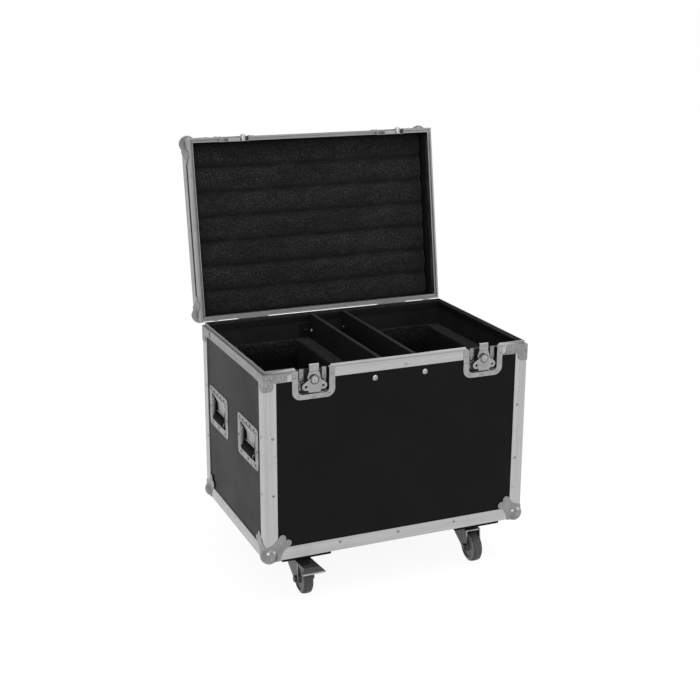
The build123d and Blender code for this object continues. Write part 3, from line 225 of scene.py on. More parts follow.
def aluminium(name, along, tone=0.46, rough=0.34):
    """Extruded aluminium: drawing lines along the bar, handling marks and dull patches."""
    s = Shader(name, rough=rough, metal=1.0)
    scale = {"x": (1.5, 160, 160), "y": (160, 1.5, 160), "z": (160, 160, 1.5)}[along]
    lines = s.noise(1.0, 4.0, 0.6, s.stretched(scale))
    wide = s.noise(1.0, 3.0, 0.5, s.stretched(tuple(v * 0.18 for v in scale)))
    patches = s.noise(18.0, 4.0, 0.65)
    nicks = s.noise(55.0, 2.0, 0.5, s.stretched((1.0, 5.0, 1.0), (0.4, 0.9, 0.3)))
    tone_map = s.mix(s.spread(lines, 0.3, 0.7), grey(tone * 0.86), grey(tone * 1.1))
    tone_map = s.mix(s.spread(patches, 0.5, 0.8, 0.0, 0.5), tone_map, grey(tone * 0.8))
    s.colour(s.mix(s.spread(nicks, 0.73, 0.78, 0.0, 0.5), tone_map, grey(tone * 0.5)))
    s.roughness(s.spread(s.added(wide, patches), 0.7, 1.3, rough - 0.06, rough + 0.12))
    s.bump(lines, 0.2, 0.00008)
    return s.material


def plated(name, tone, rough, metal=1.0, speckle=0.6):
    """Zinc plated pressings: a faint spangle, dull clouds, handling specks and fine dents."""
    s = Shader(name, rough=rough, metal=metal)
    spangle = s.cells(160.0, output="Color")
    grain = s.node("ShaderNodeSeparateColor")
    s.link(spangle, grain.inputs["Color"])
    cloud = s.noise(40.0, 4.0, 0.6)
    specks = s.noise(230.0, 3.0, 0.7)
    base = s.mix(grain.outputs["Red"], grey(tone * 0.9), grey(tone * 1.08))
    base = s.mix(s.spread(cloud, 0.45, 0.75, 0.0, speckle), base, grey(tone * 0.7))
    s.colour(s.mix(s.spread(specks, 0.56, 0.72, 0.0, speckle), base, grey(tone * 0.5)))
    s.roughness(s.spread(cloud, 0.3, 0.7, max(rough - 0.07, 0.05), rough + 0.1))
    s.bump(s.noise(120.0, 2.0), 0.25, 0.00025)
    return s.material


def foam(name, low, high, groove=False, grain=300.0, deep=False, sheen=0.08):
    """Open-cell foam: coarse torn cells, brushed patches, and where asked painted shade in its
    valleys and towards its bottom.
    """
    s = Shader(name, rough=0.95, ior=1.3, spec=sheen * 1.5)
    coarse = s.noise(grain, 3.0, 0.75)
    fine = s.noise(760.0, 2.0, 0.6)
    cells = s.spread(s.added(coarse, fine), 0.96, 1.14)
    patches = s.noise(11.0, 4.0, 0.65, s.stretched((1.0, 1.0, 2.4)))
    tone = s.mix(s.spread(patches, 0.35, 0.68), grey(high * 0.42), grey(high))
    colour = s.mix(cells, grey(low), tone)
    # Painted shade in the valleys, from a value stored on the mesh
    if groove:
        depth = s.node("ShaderNodeAttribute", attribute_name="groove")
        colour = s.mix(depth.outputs["Fac"], colour, grey(low * 0.7))
    # Painted shade: darker towards the bottom of the trunk
    if deep:
        height = s.node("ShaderNodeSeparateXYZ")
        s.link(s.place, height.inputs["Vector"])
        lit = s.spread(height.outputs["Z"], FOAM_DARK_Z, FOAM_LIT_Z)
        colour = s.mix(lit, grey(low * 0.7), colour)
    s.colour(colour)
    s.bump(coarse, 0.9, 0.0016)
    s.bsdf.inputs["Sheen Weight"].default_value = sheen
    s.bsdf.inputs["Sheen Roughness"].default_value = 0.6
    return s.material


def rubber(name, low, high, rough, dust=0.0, ior=1.45):
    """Moulded rubber: fine stipple, a dull bloom and, on wheels, some dust."""
    s = Shader(name, rough=rough, ior=ior, spec=0.4)
    cloud = s.noise(30.0, 4.0, 0.6)
    specks = s.noise(420.0, 2.0, 0.6)
    base = s.mix(s.spread(cloud, 0.3, 0.7), grey(low), grey(high))
    s.colour(s.mix(s.spread(specks, 0.5, 0.8, 0.0, dust), base, grey(0.3)))
    s.roughness(s.spread(cloud, 0.3, 0.7, rough - 0.05, rough + 0.12))
    s.bump(s.noise(900.0, 2.0), 0.3, 0.0002)
    return s.material


def dark_paint(name, tone, rough, ior=1.45):
    """Black enamel on steel: slight orange peel and rubbed marks."""
    s = Shader(name, rough=rough, ior=ior)
    rub = s.noise(70.0, 4.0, 0.65)
    s.colour(s.mix(s.spread(rub, 0.6, 0.75, 0.0, 0.5), grey(tone), grey(tone * 4)))
    s.bump(s.noise(260.0, 2.0), 0.2, 0.0003)
    return s.material


outer_board = laminate("outer_board", 0.0045, 0.0065, 0.36, 1.15)
inner_board = laminate("inner_board", 0.008, 0.0175, 0.7, 1.12)
lid_board = laminate("lid_inner_board", 0.009, 0.014, 0.7, 1.15)
divider_board = laminate("divider_board", 0.007, 0.012, 0.7, 1.12)
divider_edge = laminate("divider_edge", 0.010, 0.020, 0.75, 1.2)
ply_floor = laminate("ply_floor", 0.008, 0.013, 0.6, 1.2)
castor_ply = laminate("castor_ply", 0.004, 0.008, 0.6, 1.15)
bar_x = aluminium("edging_along_width", "x")
bar_y = aluminium("edging_along_depth", "y")
bar_z = aluminium("edging_upright", "z")
# A darker copy of the edging on the rim's bars along the depth: painted shade
rim_y_painted_shade = aluminium("rim_along_depth", "y", 0.25)
# The lid's edging takes darker copies of the aluminium as painted shade, and its inner lip a lighter
# copy as a painted highlight
lid_bar_x_painted_shade = aluminium("lid_edging_along_width", "x", 0.31)
lid_bar_z_painted_shade = aluminium("lid_edging_upright", "z", 0.31)
lid_lip_highlight = aluminium("lid_inner_lip", "z", 0.66, 0.28)
# Copies for the trunk's rim: a lighter one on the tongue's top as a painted highlight, darker ones on
# the inner leg and the tongue's inner side as painted shade
tongue_top = aluminium("tongue_top", "x", 0.72, 0.26)
inner_leg = plated("inner_leg", 0.02, 0.6)
tongue_side = plated("tongue_side", 0.12, 0.5)
knob_steel = plated("knob_steel", 0.22, 0.3)
pressed = plated("pressed_plate", 0.28, 0.36)
# A darker copy of the pressings for the lid's ball corners: painted shade
lid_pressed_painted_shade = plated("lid_pressed_plate", 0.18, 0.36)
ball_steel = plated("ball_steel", 0.24, 0.24, speckle=0.75)
latch_plate = plated("latch_plate", 0.36, 0.34)
dish_plate = plated("handle_dish_plate", 0.29, 0.36)
# Painted shade in the latches' recesses, and on their floors with speckle
latch_shade = plated("latch_recess", 0.035, 0.5)
latch_floor = plated("latch_floor", 0.06, 0.5, speckle=0.95)
latch_guide = plated("latch_guide", 0.3, 0.42, speckle=0.95)
wing_steel = plated("wing_steel", 0.35, 0.3, speckle=0.5)
# A bright plate for painted highlights: the hook's crease and the collars at the grips' ends
bright = plated("bright_plate", 0.46, 0.22, speckle=0.4)
# Bright steel for the knob's cap; on the castor forks' and pedals' front faces it is a painted
# highlight
bright_edge = plated("bright_edge", 0.42, 0.3, speckle=0.5)
bolt_steel = plated("bolt_steel", 0.4, 0.3)
# The bail is darkened to stand in for the shade in the handle's recess: painted shade
bail_steel = plated("bail_steel", 0.045, 0.4)
# A lighter, less metallic copy of the dish plate: painted light on the handles' scooped backs and
# lips and on the latches' lower walls
scoop_plate = plated("scoop_plate", 0.5, 0.5, metal=0.4, speckle=0.8)
recess_wall = plated("recess_wall", 0.03, 0.5)
fork_plate = plated("fork_plate", 0.07, 0.36, speckle=0.9)
rivet_metal = plated("rivet_heads", 0.36, 0.26, speckle=0.4)
dull_rivet = plated("dull_rivet_heads", 0.1, 0.4)
# A dark material for painted shade: rings round rivets, holes, gaps, lines under creases and the
# handles' pivot ears, with a little dirt on the rivet rings
painted_shade_and_dirt = plated("rivet_grime", 0.05, 0.6, metal=0.0)
foam_black = foam("foam_black", 0.0008, 0.036, grain=150.0, deep=True, sheen=0.045)
# The blocks' tops and darker upright sides are lit and shaded copies of one foam: painted shade on
# the sides
foam_top = foam("foam_top", 0.0008, 0.014, grain=150.0, sheen=0.05)
foam_side = foam("foam_side", 0.0006, 0.011, grain=150.0, deep=True, sheen=0.02)
lid_foam_black = foam("lid_foam_black", 0.0015, 0.034, groove=True)
grip_rubber = rubber("grip_rubber", 0.002, 0.004, 0.7, ior=1.2)
wheel_rubber = rubber("wheel_rubber", 0.036, 0.052, 0.55, dust=0.25)
# Wheel side walls: lighter rubber, made lighter still against the fork's shade as painted light
wheel_side = rubber("wheel_side", 0.11, 0.15, 0.5, dust=0.3)
wheel_seam = rubber("wheel_seam", 0.012, 0.02, 0.6)
pedal_paint = dark_paint("pedal_paint", 0.02, 0.36)
# A rougher, lighter black for treads, lighter in part as painted light on the pedals' lit front
# facets
pedal_tread = dark_paint("pedal_tread", 0.035, 0.55)
bracket_paint = dark_paint("bracket_paint", 0.007, 0.8, 1.15)

CAD_LOOKS = {
    "panel_": outer_board,
    "panel_floor": ply_floor,
    "divider_left": divider_board,
    "divider_right": divider_board,
    "divider_brackets": bracket_paint,
    "divider_bolts": bolt_steel,
    "castor_boards": castor_ply,
    "lid_top_panel": outer_board,
    "lid_side_panels": lid_board,
    "base_bottom_angles": bar_x,
    "base_corner_angles": bar_z,
    "base_rim": bar_x,
    "lid_edge_angles": lid_bar_x_painted_shade,
    "lid_rim": lid_bar_x_painted_shade,
    "base_ball_corners": pressed,
    "lid_ball_corners": lid_pressed_painted_shade,
    "base_corner_braces": pressed,
    "latch_dishes": latch_plate,
    "lid_latch_dishes": dish_plate,
    "latch_housings": latch_plate,
    "latch_keepers": latch_plate,
    "latch_knob": knob_steel,
    "latch_wing": wing_steel,
    "latch_hook": wing_steel,
    "handle_dishes": dish_plate,
    "handle_bail": bail_steel,
    "handle_grip": grip_rubber,
    "hinge_": latch_plate,
    "castor_plates": fork_plate,
    "castor_fork": fork_plate,
    "castor_wheel": wheel_rubber,
    "brake_pedal": pedal_paint,
    "foam_": foam_black,
    "lid_foam": lid_foam_black,
}


def looks_of(name):
    """The material of a CAD node, by the longest matching start of its name."""
    starts = [start for start in CAD_LOOKS if name.startswith(start)]
    return CAD_LOOKS[max(starts, key=len)]


def smooth_by_angle(mesh, degrees):
    """Smooth shading that keeps edges sharper than the angle."""
    mesh.shade_smooth()
    mesh.set_sharp_from_angle(angle=math.radians(degrees))


for name, node in nodes.items():
    node.data.materials.clear()
    node.data.materials.append(looks_of(name))


def relook(names, material, chosen):
    """Gives another material to the faces of CAD nodes that a test picks."""
    for name in names:
        mesh = nodes[name].data
        number = len(mesh.materials)
        mesh.materials.append(material)
        for polygon in mesh.polygons:
            if chosen(polygon.center / MM, polygon.normal):
                polygon.material_index = number


def starting(*starts):
    return [name for name in nodes if name.startswith(starts)]


def inward(centre, normal):
    """Whether an upright face looks at the middle of the case."""
    if abs(normal.z) > 0.5:
        return False
    return centre.x * normal.x < 0 if abs(normal.x) > abs(normal.y) else centre.y * normal.y < 0


def on_side_bar(centre, normal):
    """Whether a face belongs to a bar along the depth."""
    return abs(centre.x) > WIDTH / 2 - EDGE_LEG


def inside_tongue(centre):
    """Whether a place lies on the rim's inner side of the tongue."""
    return abs(centre.x) < WIDTH / 2 - TONGUE_END and abs(centre.y) < DEPTH / 2 - TONGUE_END


def under_wing(centre, normal):
    """Whether a face is the lower wall of a latch's recess."""
    return centre.y > RECESS_Y and normal.z > 0.7 and centre.z < UNDER_WING_Z


# Bars along the depth get drawing lines along their own length; in the open lid they stand upright
relook(["base_bottom_angles"], bar_y, on_side_bar)
relook(["base_rim"], rim_y_painted_shade, on_side_bar)
relook(["lid_edge_angles", "lid_rim"], lid_bar_z_painted_shade, on_side_bar)
# Inward faces of the lid's side bars take the lighter copy: painted highlight
relook(["lid_rim"], lid_lip_highlight, lambda c, n: on_side_bar(c, n) and c.x * n.x < 0 and abs(n.x) > 0.5)

# The trunk's rim: a painted highlight on the tongue's top, painted shade on the inner leg, and a
# darker grey of painted shade on the tongue's inner side
relook(["base_rim"], tongue_top, lambda c, n: n.z > 0.9 and c.z > LEDGE + 1)
relook(["base_rim"], inner_leg, inward)
relook(["base_rim"], inner_leg, lambda c, n: n.z > 0.9 and c.z < LEDGE + 1 and inside_tongue(c))
relook(["base_rim"], tongue_side, lambda c, n: inward(c, n) and abs(n.x) > 0.7 and c.z > LEDGE)

# The boards' inner faces are darker and duller than their outer laminate
relook(starting("panel_front", "panel_back", "panel_left", "panel_right"), inner_board, inward)
relook(starting("divider_left", "divider_right"), divider_edge, lambda c, n: n.z > 0.9)

# Balls of the corners are polished by the pressing, their flat arms are not
relook(
    ["base_ball_corners", "lid_ball_corners"],
    ball_steel,
    lambda c, n: max(abs(n.x), abs(n.y), abs(n.z)) < 0.96,
)

# Latches: painted shade darkens the recess and its floor, its guides are scuffed, and its up-facing
# lower wall gets a painted highlight
relook(["latch_dishes"], latch_shade, lambda c, n: c.y > RECESS_Y and n.z < 0.5)
relook(["latch_housings"], latch_shade, lambda c, n: True)
relook(["latch_housings"], latch_floor, lambda c, n: n.y < -0.9)
relook(["latch_housings"], latch_guide, lambda c, n: n.y < -0.9 and c.y < GUIDE_Y)
# The up-facing lower wall takes the lighter plate: painted light
relook(["latch_dishes", "latch_housings"], scoop_plate, under_wing)

# Handle dishes: painted shade darkens the walls inside the recess
relook(["handle_dishes"], recess_wall, lambda c, n: abs(c.x) < RECESS_X)

# Castors: painted highlights on the forks' front faces, wheel side walls lighter in part by painted
# light, and a treaded end on each pedal whose front is a painted highlight on worn metal
relook(starting("castor_fork"), bright_edge, lambda c, n: n.y < -0.93)
# Side walls picked by facing, lighter in part as painted light
relook(starting("castor_wheel"), wheel_side, lambda c, n: abs(n.x) > 0.85)
for name in starting("brake_pedal"):
    tip_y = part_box(name)[0][1] / MM
    relook([name], fork_plate, lambda c, n: abs(n.x) > 0.7)
    relook([name], pedal_tread, lambda c, n: n.z > 0.3 and c.y < tip_y + PEDAL_FACET)
    relook([name], bright_edge, lambda c, n: n.z < 0.3 and c.y < tip_y + PEDAL_FACET)


# Mesh pieces
def mesh_of(work, name):
    """A mesh in metres from a mesh under work in millimetres."""
    work.transform(Matrix.Diagonal((MM, MM, MM, 1)))
    mesh = bpy.data.meshes.new(name)
    work.to_mesh(mesh)
    work.free()
    return mesh


def linked(name, data):
    """A new object of the scene."""
    made = bpy.data.objects.new(name, data)
    bpy.context.scene.collection.objects.link(made)
    return made


def angles(steps, total=2 * math.pi):
    """Angles from 0 up to the total in even steps, with both ends."""
    return [total * k / steps for k in range(steps + 1)]


class Piece:
    """A mesh built up in millimetres from lathed, tubed and boxed forms."""

    def __init__(self, name):
        self.name = name
        self.bm = bmesh.new()
        self.material = 0

    def vert(self, where, *point):
        return self.bm.verts.new(where @ Vector(point))

    def face(self, verts):
        self.bm.faces.new(verts).material_index = self.material

    def ring_faces(self, a, b):
        count = len(a)
        for i in range(count):
            j = (i + 1) % count
            self.face((a[i], a[j], b[j], b[i]))

    def lathe(self, profile, where, segments):
        """Turns (radius, height) points round the local z; a radius of 0 makes a tip."""
        turns = angles(segments)[:-1]
        rings = []
        for radius, height in profile:
            if radius == 0:
                rings.append(self.vert(where, 0, 0, height))
            else:
                ring = [(radius * math.cos(turn), radius * math.sin(turn)) for turn in turns]
                rings.append([self.vert(where, x, y, height) for x, y in ring])
        for a, b in zip(rings, rings[1:]):
            if isinstance(a, list) and isinstance(b, list):
                self.ring_faces(a, b)
            else:
                tip, ring = (a, b) if isinstance(b, list) else (b, a)
                for i in range(segments):
                    self.face((ring[i], ring[(i + 1) % segments], tip))

    def tube(self, points, radius, where, segments):
        """A round rod along points, closed at both ends."""
        path = [where @ Vector(point) for point in points]
        turns = angles(segments)[:-1]
        up = (path[1] - path[0]).normalized().orthogonal().normalized()
        rings = []
        for i, point in enumerate(path):
            ahead = path[min(i + 1, len(path) - 1)]
            behind = path[max(i - 1, 0)]
            run = (ahead - behind).normalized()
            up = (up - run * up.dot(run)).normalized()
            across = run.cross(up)
            ring = []
            for turn in turns:
                on_rim = point + up * radius * math.cos(turn) + across * radius * math.sin(turn)
                ring.append(self.bm.verts.new(on_rim))
            rings.append(ring)
        for a, b in zip(rings, rings[1:]):
            self.ring_faces(a, b)
        self.face(rings[0])
        self.face(rings[-1])

    def slab(self, low, high, where, bevel=0.0):
        """A box between two corners, with rounded edges where a bevel is given."""
        corners = [self.vert(where, *point) for point in product(*zip(low, high))]
        sides = ((0, 1, 3, 2), (4, 6, 7, 5), (0, 4, 5, 1), (2, 3, 7, 6), (0, 2, 6, 4), (1, 5, 7, 3))
        faces = [self.bm.faces.new([corners[i] for i in ids]) for ids in sides]
        if bevel:
            edges = list(dict.fromkeys(edge for face in faces for edge in face.edges))
            bmesh.ops.bevel(
                self.bm, geom=edges, offset=bevel, segments=2, profile=0.5, affect="EDGES"
            )

    def sheet(self, profile, half, gauge, where):
        """A bent sheet of a gauge: an open profile of (y, z) points, swept along x."""
        rows = []
        for i, (y, z) in enumerate(profile):
            ahead = Vector(profile[min(i + 1, len(profile) - 1)])
            run = (ahead - Vector(profile[max(i - 1, 0)])).normalized()
            inner = (y + run.y * gauge, z - run.x * gauge)
            row = ((-half, y, z), (half, y, z), (half, *inner), (-half, *inner))
            rows.append([self.vert(where, *point) for point in row])
        for a, b in zip(rows, rows[1:]):
            self.ring_faces(a, b)
        self.face(rows[0])
        self.face(rows[-1])

    def done(self, body, material, degrees, others=()):
        """Turns the forms into an object that rides on a body."""
        bmesh.ops.recalc_face_normals(self.bm, faces=self.bm.faces)
        mesh = mesh_of(self.bm, self.name)
        smooth_by_angle(mesh, degrees)
        for look in (material, *others):
            mesh.materials.append(look)
        made = linked(self.name, mesh)
        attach(made, body)


def tree_of(*names):
    """A search tree over CAD nodes, in millimetres."""
    points, faces = [], []
    for name in names:
        mesh = nodes[name].data
        start = len(points)
        points += [v.co / MM for v in mesh.vertices]
        faces += [[start + i for i in polygon.vertices] for polygon in mesh.polygons]
    return BVHTree.FromPolygons(points, faces)


BASE_SKIN = tree_of(
    "panel_front", "panel_right", "panel_back", "panel_left", "panel_floor",
    "base_bottom_angles", "base_corner_angles", "base_rim", "base_ball_corners",
    "base_corner_braces", "latch_dishes", "latch_housings", "handle_dishes",
    "hinge_base_leaves", "castor_plates", "castor_boards",
)
LID_SKIN = tree_of(
    "lid_top_panel", "lid_side_panels", "lid_edge_angles", "lid_rim", "lid_ball_corners",
    "lid_latch_dishes", "latch_keepers", "hinge_lid_leaves",
)
PROBE = 40.0
RIVET_SEGMENTS = 16


def seated(tree, face, x, y, start=PROBE):
    """Frame on the first surface under (x, y) of a face, z along the face's outward z."""
    out = (face.to_3x3() @ Vector((0, 0, 1))).normalized()
    origin = face @ Vector((x, y, start))
    hit = tree.ray_cast(origin, -out)[0]
    if hit is None:
        return None
    return place(hit, face.to_3x3() @ Vector((1, 0, 0)), out)


def shade_and_dirt_ring(piece, where, radius):
    """A dark ring round a rivet's rim on the plate under it: painted shade of the gap there, with a
    little dirt.
    """
    piece.material = 1
    disc = [(0, 0.04), (radius + 0.65, 0.04), (radius + 0.75, -0.2), (0, -0.2)]
    piece.lathe(disc, where, RIVET_SEGMENTS)
    piece.material = 0


def rivet(piece, where, radius=2.7, height=1.3):
    """A domed rivet head with a thin rim, sunk a little into what it holds."""
    shade_and_dirt_ring(piece, where, radius)
    piece.lathe(
        [
            (0, height), (radius * 0.38, height * 0.93), (radius * 0.7, height * 0.68),
            (radius * 0.92, height * 0.3), (radius, height * 0.08), (radius, -0.25), (0, -0.25),
        ],
        where,
        RIVET_SEGMENTS,
    )


def pierced_rivet(piece, where):
    """A blind rivet: a domed head round the hole of its pulled stem, the hole a flat disc painted
    dark as shade.
    """
    radius, height = 2.9, 1.2
    shade_and_dirt_ring(piece, where, radius)
    # The stem's hole: a flat dark disc of painted shade
    piece.material = 1
    piece.lathe([(0, height * 0.5), (radius * 0.45, height * 0.55)], where, RIVET_SEGMENTS)
    piece.material = 0
    piece.lathe(
        [
            (radius * 0.45, height * 0.4), (radius * 0.5, height * 0.98),
            (radius * 0.72, height * 0.75), (radius * 0.94, height * 0.3),
            (radius, 0.05), (radius, -0.25), (0, -0.25),
        ],
        where,
        RIVET_SEGMENTS,
    )


def rivet_row(name, tree, body, spots, kind=rivet, look=rivet_metal, **sizes):
    """One piece of rivets from (face, x, y) spots, those that lie over no surface left out."""
    piece = Piece(name)
    for face, x, y in spots:
        where = seated(tree, face, x, y)
        if where is not None:
            kind(piece, where, **sizes)
    piece.done(body, look, 60, (painted_shade_and_dirt,))


# Places of rivets, from a side's middle and foot unless said otherwise
EDGE_LINE = 20.5
EDGE_HEIGHTS = (160.5, 295.8)
BOTTOM_PLACES = (-148, 0, 148)
BALL_ARM_IN, BALL_ARM_OUT = 53.0, 40.5
BRACE_FROM_CORNER = ((7.0, 10.0), (19.5, 10.5), (45.5, 11.3), (7.0, 27.5), (19.5, 28.5))
LATCH_FROM_TOP = ((-45, -12), (45, -12), (-37, -56), (37, -56), (0, -61.5))
HANDLE_ABOVE, HANDLE_BELOW, HANDLE_BESIDE = (-58, -34, -8, 16, 44), (-50, 0, 50), (-64, 64)
LID_LATCH_FROM_FOOT = ((-43, 14), (43, 14), (-28, 28), (28, 28))
LID_SIDE_COUNTS, LID_EDGE_LINE, LID_CORNER_REACH = (4, 3, 4, 3), 20.0, 100
HINGE_PLACES, HINGE_LINE = (-28, 0, 28), 22.0

# Rivets along the trunk's edging
spots = []
for face, run in zip(TRUNK, RUNS):
    for s in (-1, 1):
        spots += [(face, s * (run / 2 - EDGE_LINE), y) for y in EDGE_HEIGHTS]
    spots += [(face, x, EDGE_LINE) for x in (BOTTOM_PLACES if run == WIDTH else (0,))]
rivet_row("trunk_edge_rivets", BASE_SKIN, "base", spots, pierced_rivet)

# Rivets in the corner plates: ball corners below, braces at the rim
spots = []
for face, run in zip(TRUNK, RUNS):
    for s in (-1, 1):
        spots.append((face, s * (run / 2 - BALL_ARM_IN), BALL_ARM_OUT))
        spots.append((face, s * (run / 2 - BALL_ARM_OUT), BALL_ARM_IN))
        spots += [(face, s * (run / 2 - x), HEIGHT - drop) for x, drop in BRACE_FROM_CORNER]
rivet_row("trunk_corner_rivets", BASE_SKIN, "base", spots, radius=2.4, height=1.2)

# Rivets round the latch dishes
spots = [(TRUNK[0], s * LATCH_X + x, HEIGHT + y) for s in (-1, 1) for x, y in LATCH_FROM_TOP]
rivet_row("latch_rivets", BASE_SKIN, "base", spots)

# Rivets round the handle dishes
spots = []
for face in (TRUNK[1], TRUNK[3]):
    for s in (-1, 1):
        for places, y in ((HANDLE_ABOVE, 42), (HANDLE_BELOW, -42), (HANDLE_BESIDE, -4)):
            spots += [(face, s * HANDLE_X + x, HANDLE_Z + y) for x in places]
rivet_row("handle_rivets", BASE_SKIN, "base", spots, rivet, dull_rivet, radius=2.9)

# Rivets of the lid's edging, ball corners and latch dishes
spots = []
for face, run, count in zip(LID_SIDES, RUNS, LID_SIDE_COUNTS):
    spots += [(face, s * (run / 2 - BALL_ARM_IN), LID_TOP - BALL_ARM_OUT) for s in (-1, 1)]
    for i in range(count):
        x = (i - (count - 1) / 2) * (run - 2 * LID_CORNER_REACH) / (count - 1)
        spots.append((face, x, LID_TOP - LID_EDGE_LINE))
for s in (-1, 1):
    spots += [(LID_SIDES[0], s * LATCH_X + x, y) for x, y in LID_LATCH_FROM_FOOT]
rivet_row("lid_side_rivets", LID_SKIN, "lid", spots, radius=3.2, height=1.9)

# Rivets on the lid's top, from its middle
TOP_OF_LID = LID @ place((0, 0, LID_TOP), (1, 0, 0), (0, 0, 1))
TOP_PLACES_ALONG_DEPTH, TOP_PLACES_ALONG_WIDTH = (-120, 0, 120), (70, 190)
spots = []
for sx in (-1, 1):
    spots += [(TOP_OF_LID, sx * (WIDTH / 2 - EDGE_LINE), y) for y in TOP_PLACES_ALONG_DEPTH]
    for x in TOP_PLACES_ALONG_WIDTH:
        spots += [(TOP_OF_LID, sx * x, sy * (DEPTH / 2 - EDGE_LINE)) for sy in (-1, 1)]
    for sy in (-1, 1):
        for x, y in ((BALL_ARM_IN, BALL_ARM_OUT), (BALL_ARM_OUT, BALL_ARM_IN)):
            spots.append((TOP_OF_LID, sx * (WIDTH / 2 - x), sy * (DEPTH / 2 - y)))
rivet_row("lid_top_rivets", LID_SKIN, "lid", spots)

# Rivets of the edging under the trunk, from its middle
UNDERSIDE = place((0, 0, BASE_BOTTOM), (1, 0, 0), (0, 0, -1))
UNDER_PLACES_ALONG_DEPTH, UNDER_PLACES_ALONG_WIDTH = (-60, 60), (130, 10)
spots = []
for sx in (-1, 1):
    spots += [(UNDERSIDE, sx * (WIDTH / 2 - EDGE_LINE), y) for y in UNDER_PLACES_ALONG_DEPTH]
    for sy in (-1, 1):
        spots += [(UNDERSIDE, sx * x, sy * (DEPTH / 2 - EDGE_LINE)) for x in UNDER_PLACES_ALONG_WIDTH]
rivet_row("underside_rivets", BASE_SKIN, "base", spots)

# Rivets in the hinge leaves
places = [s * HINGE_X + x for s in (-1, 1) for x in HINGE_PLACES]
spots = [(TRUNK[2], x, HEIGHT - HINGE_LINE) for x in places]
rivet_row("hinge_rivets_below", BASE_SKIN, "base", spots)
spots = [(LID_SIDES[2], x, HINGE_LINE) for x in places]
rivet_row("hinge_rivets_above", LID_SKIN, "lid", spots)


# Handles: a scooped back in each dish, a bead over its opening, lips and return springs
SCOOP_STEPS, SCOOP_HALF, SCOOP_SHIFT, SCOOP_GAUGE = 12, 48.0, 7.0, 0.9
SCOOP_TOP, SCOOP_FALL, SCOOP_SINK, SCOOP_LOWER_LIP = (32.6, -1.3), 32.0, 12.2, (-15.0, -13.8)
LIP_X, EAR_X, EAR_Y = 54.8, 51.5, 27.5
SPRING_TURNS, SPRING_STEPS, SPRING_RADIUS, SPRING_PITCH = 5, 12, 4.3, 0.62


def scoop_profile():
    """The scooped back from its upper edge down to its lower lip, as (y, z) points."""
    y, z = SCOOP_TOP
    points = []
    for i in range(SCOOP_STEPS + 1):
        share = i / SCOOP_STEPS
        points.append((y - SCOOP_FALL * share, z - SCOOP_SINK * math.sin(math.pi / 2 * share)))
    return [*points, SCOOP_LOWER_LIP]


def spring_coil(end):
    """Points of the return spring at one end of a handle's rod."""
    points = []
    for k in range(SPRING_TURNS * SPRING_STEPS + 1):
        angle = 2 * math.pi * k / SPRING_STEPS
        x = end * (45.6 - SPRING_PITCH * k / SPRING_STEPS)
        y = 16.0 + SPRING_RADIUS * math.cos(angle)
        points.append((x, y, -5.5 + SPRING_RADIUS * math.sin(angle)))
    return points


def handle_scoops():
    scoops = Piece("handle_scoops")
    beads = Piece("handle_beads")
    lips = Piece("handle_lips")
    springs = Piece("handle_springs")
    profile = scoop_profile()
    for side, front in ((1, -1), (3, 1)):
        for s in (-1, 1):
            middle = TRUNK[side] @ Matrix.Translation((s * HANDLE_X, HANDLE_Z, 0))
            shifted = middle @ Matrix.Translation((front * SCOOP_SHIFT, 0, 0))
            scoops.sheet(profile, SCOOP_HALF, SCOOP_GAUGE, shifted)
            scoops.tube([(-55, -15.4, -13.2), (55, -15.4, -13.2)], 0.9, middle, 8)
            beads.tube([(-60, 36.2, 0.0), (60, 36.2, 0.0)], 1.1, middle, 10)
            for end in (-1, 1):
                lips.slab((end * LIP_X - 0.6, -29, -6.0), (end * LIP_X + 0.6, 29, -0.2), middle)
                ear = middle @ Matrix.Translation((end * EAR_X, EAR_Y, -4.0))
                # The pivot ears take the dark material: painted shade
                beads.material = 1
                beads.lathe([(0, 3.4), (3.2, 3.4), (3.4, 2.4), (3.4, -4.0), (0, -4.0)], ear, 16)
                beads.material = 0
                springs.tube(spring_coil(end), 0.45, middle, 6)
    # The scooped backs and lips take the lighter plate: painted light
    scoops.done("base", scoop_plate, 50)
    beads.done("base", latch_plate, 50, (painted_shade_and_dirt,))
    lips.done("base", scoop_plate, 50)
    springs.done("base", bolt_steel, 60)


handle_scoops()

COLLAR_Y = 36.0


def grip_collars():
    """Bright collars where the bail's rod enters each grip, put there as painted highlights."""
    for name in starting("handle_grip"):
        low, high = (Vector(corner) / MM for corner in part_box(name))
        middle = (low + high) / 2
        collars = Piece(name.replace("grip", "collars"))
        for end in (-1, 1):
            where = place((middle.x, middle.y + end * COLLAR_Y, middle.z), (1, 0, 0), (0, end, 0))
            collars.lathe([(0, 2.2), (4.6, 2.2), (5.2, 1.6), (5.2, -0.2), (0, -0.2)], where, 20)
        collars.done(name.replace("grip_", ""), bright, 40)


grip_collars()


# Latches: rivets, pads and a bent wire in the housing, a cap and a ring of painted shade on the knob,
# rims on the wing's holes, a crease with a painted highlight and shadow on the hook and a post in the
# lid's dish
GAP_RADIUS, GAP_HEIGHT = 10.2, 6.7
WING_HOLE_X, WING_HOLE_DROP, WING_FOOT_DROP = 20.5, 14.7, 22.5
POST_X, POST_Y = 25, 9.0


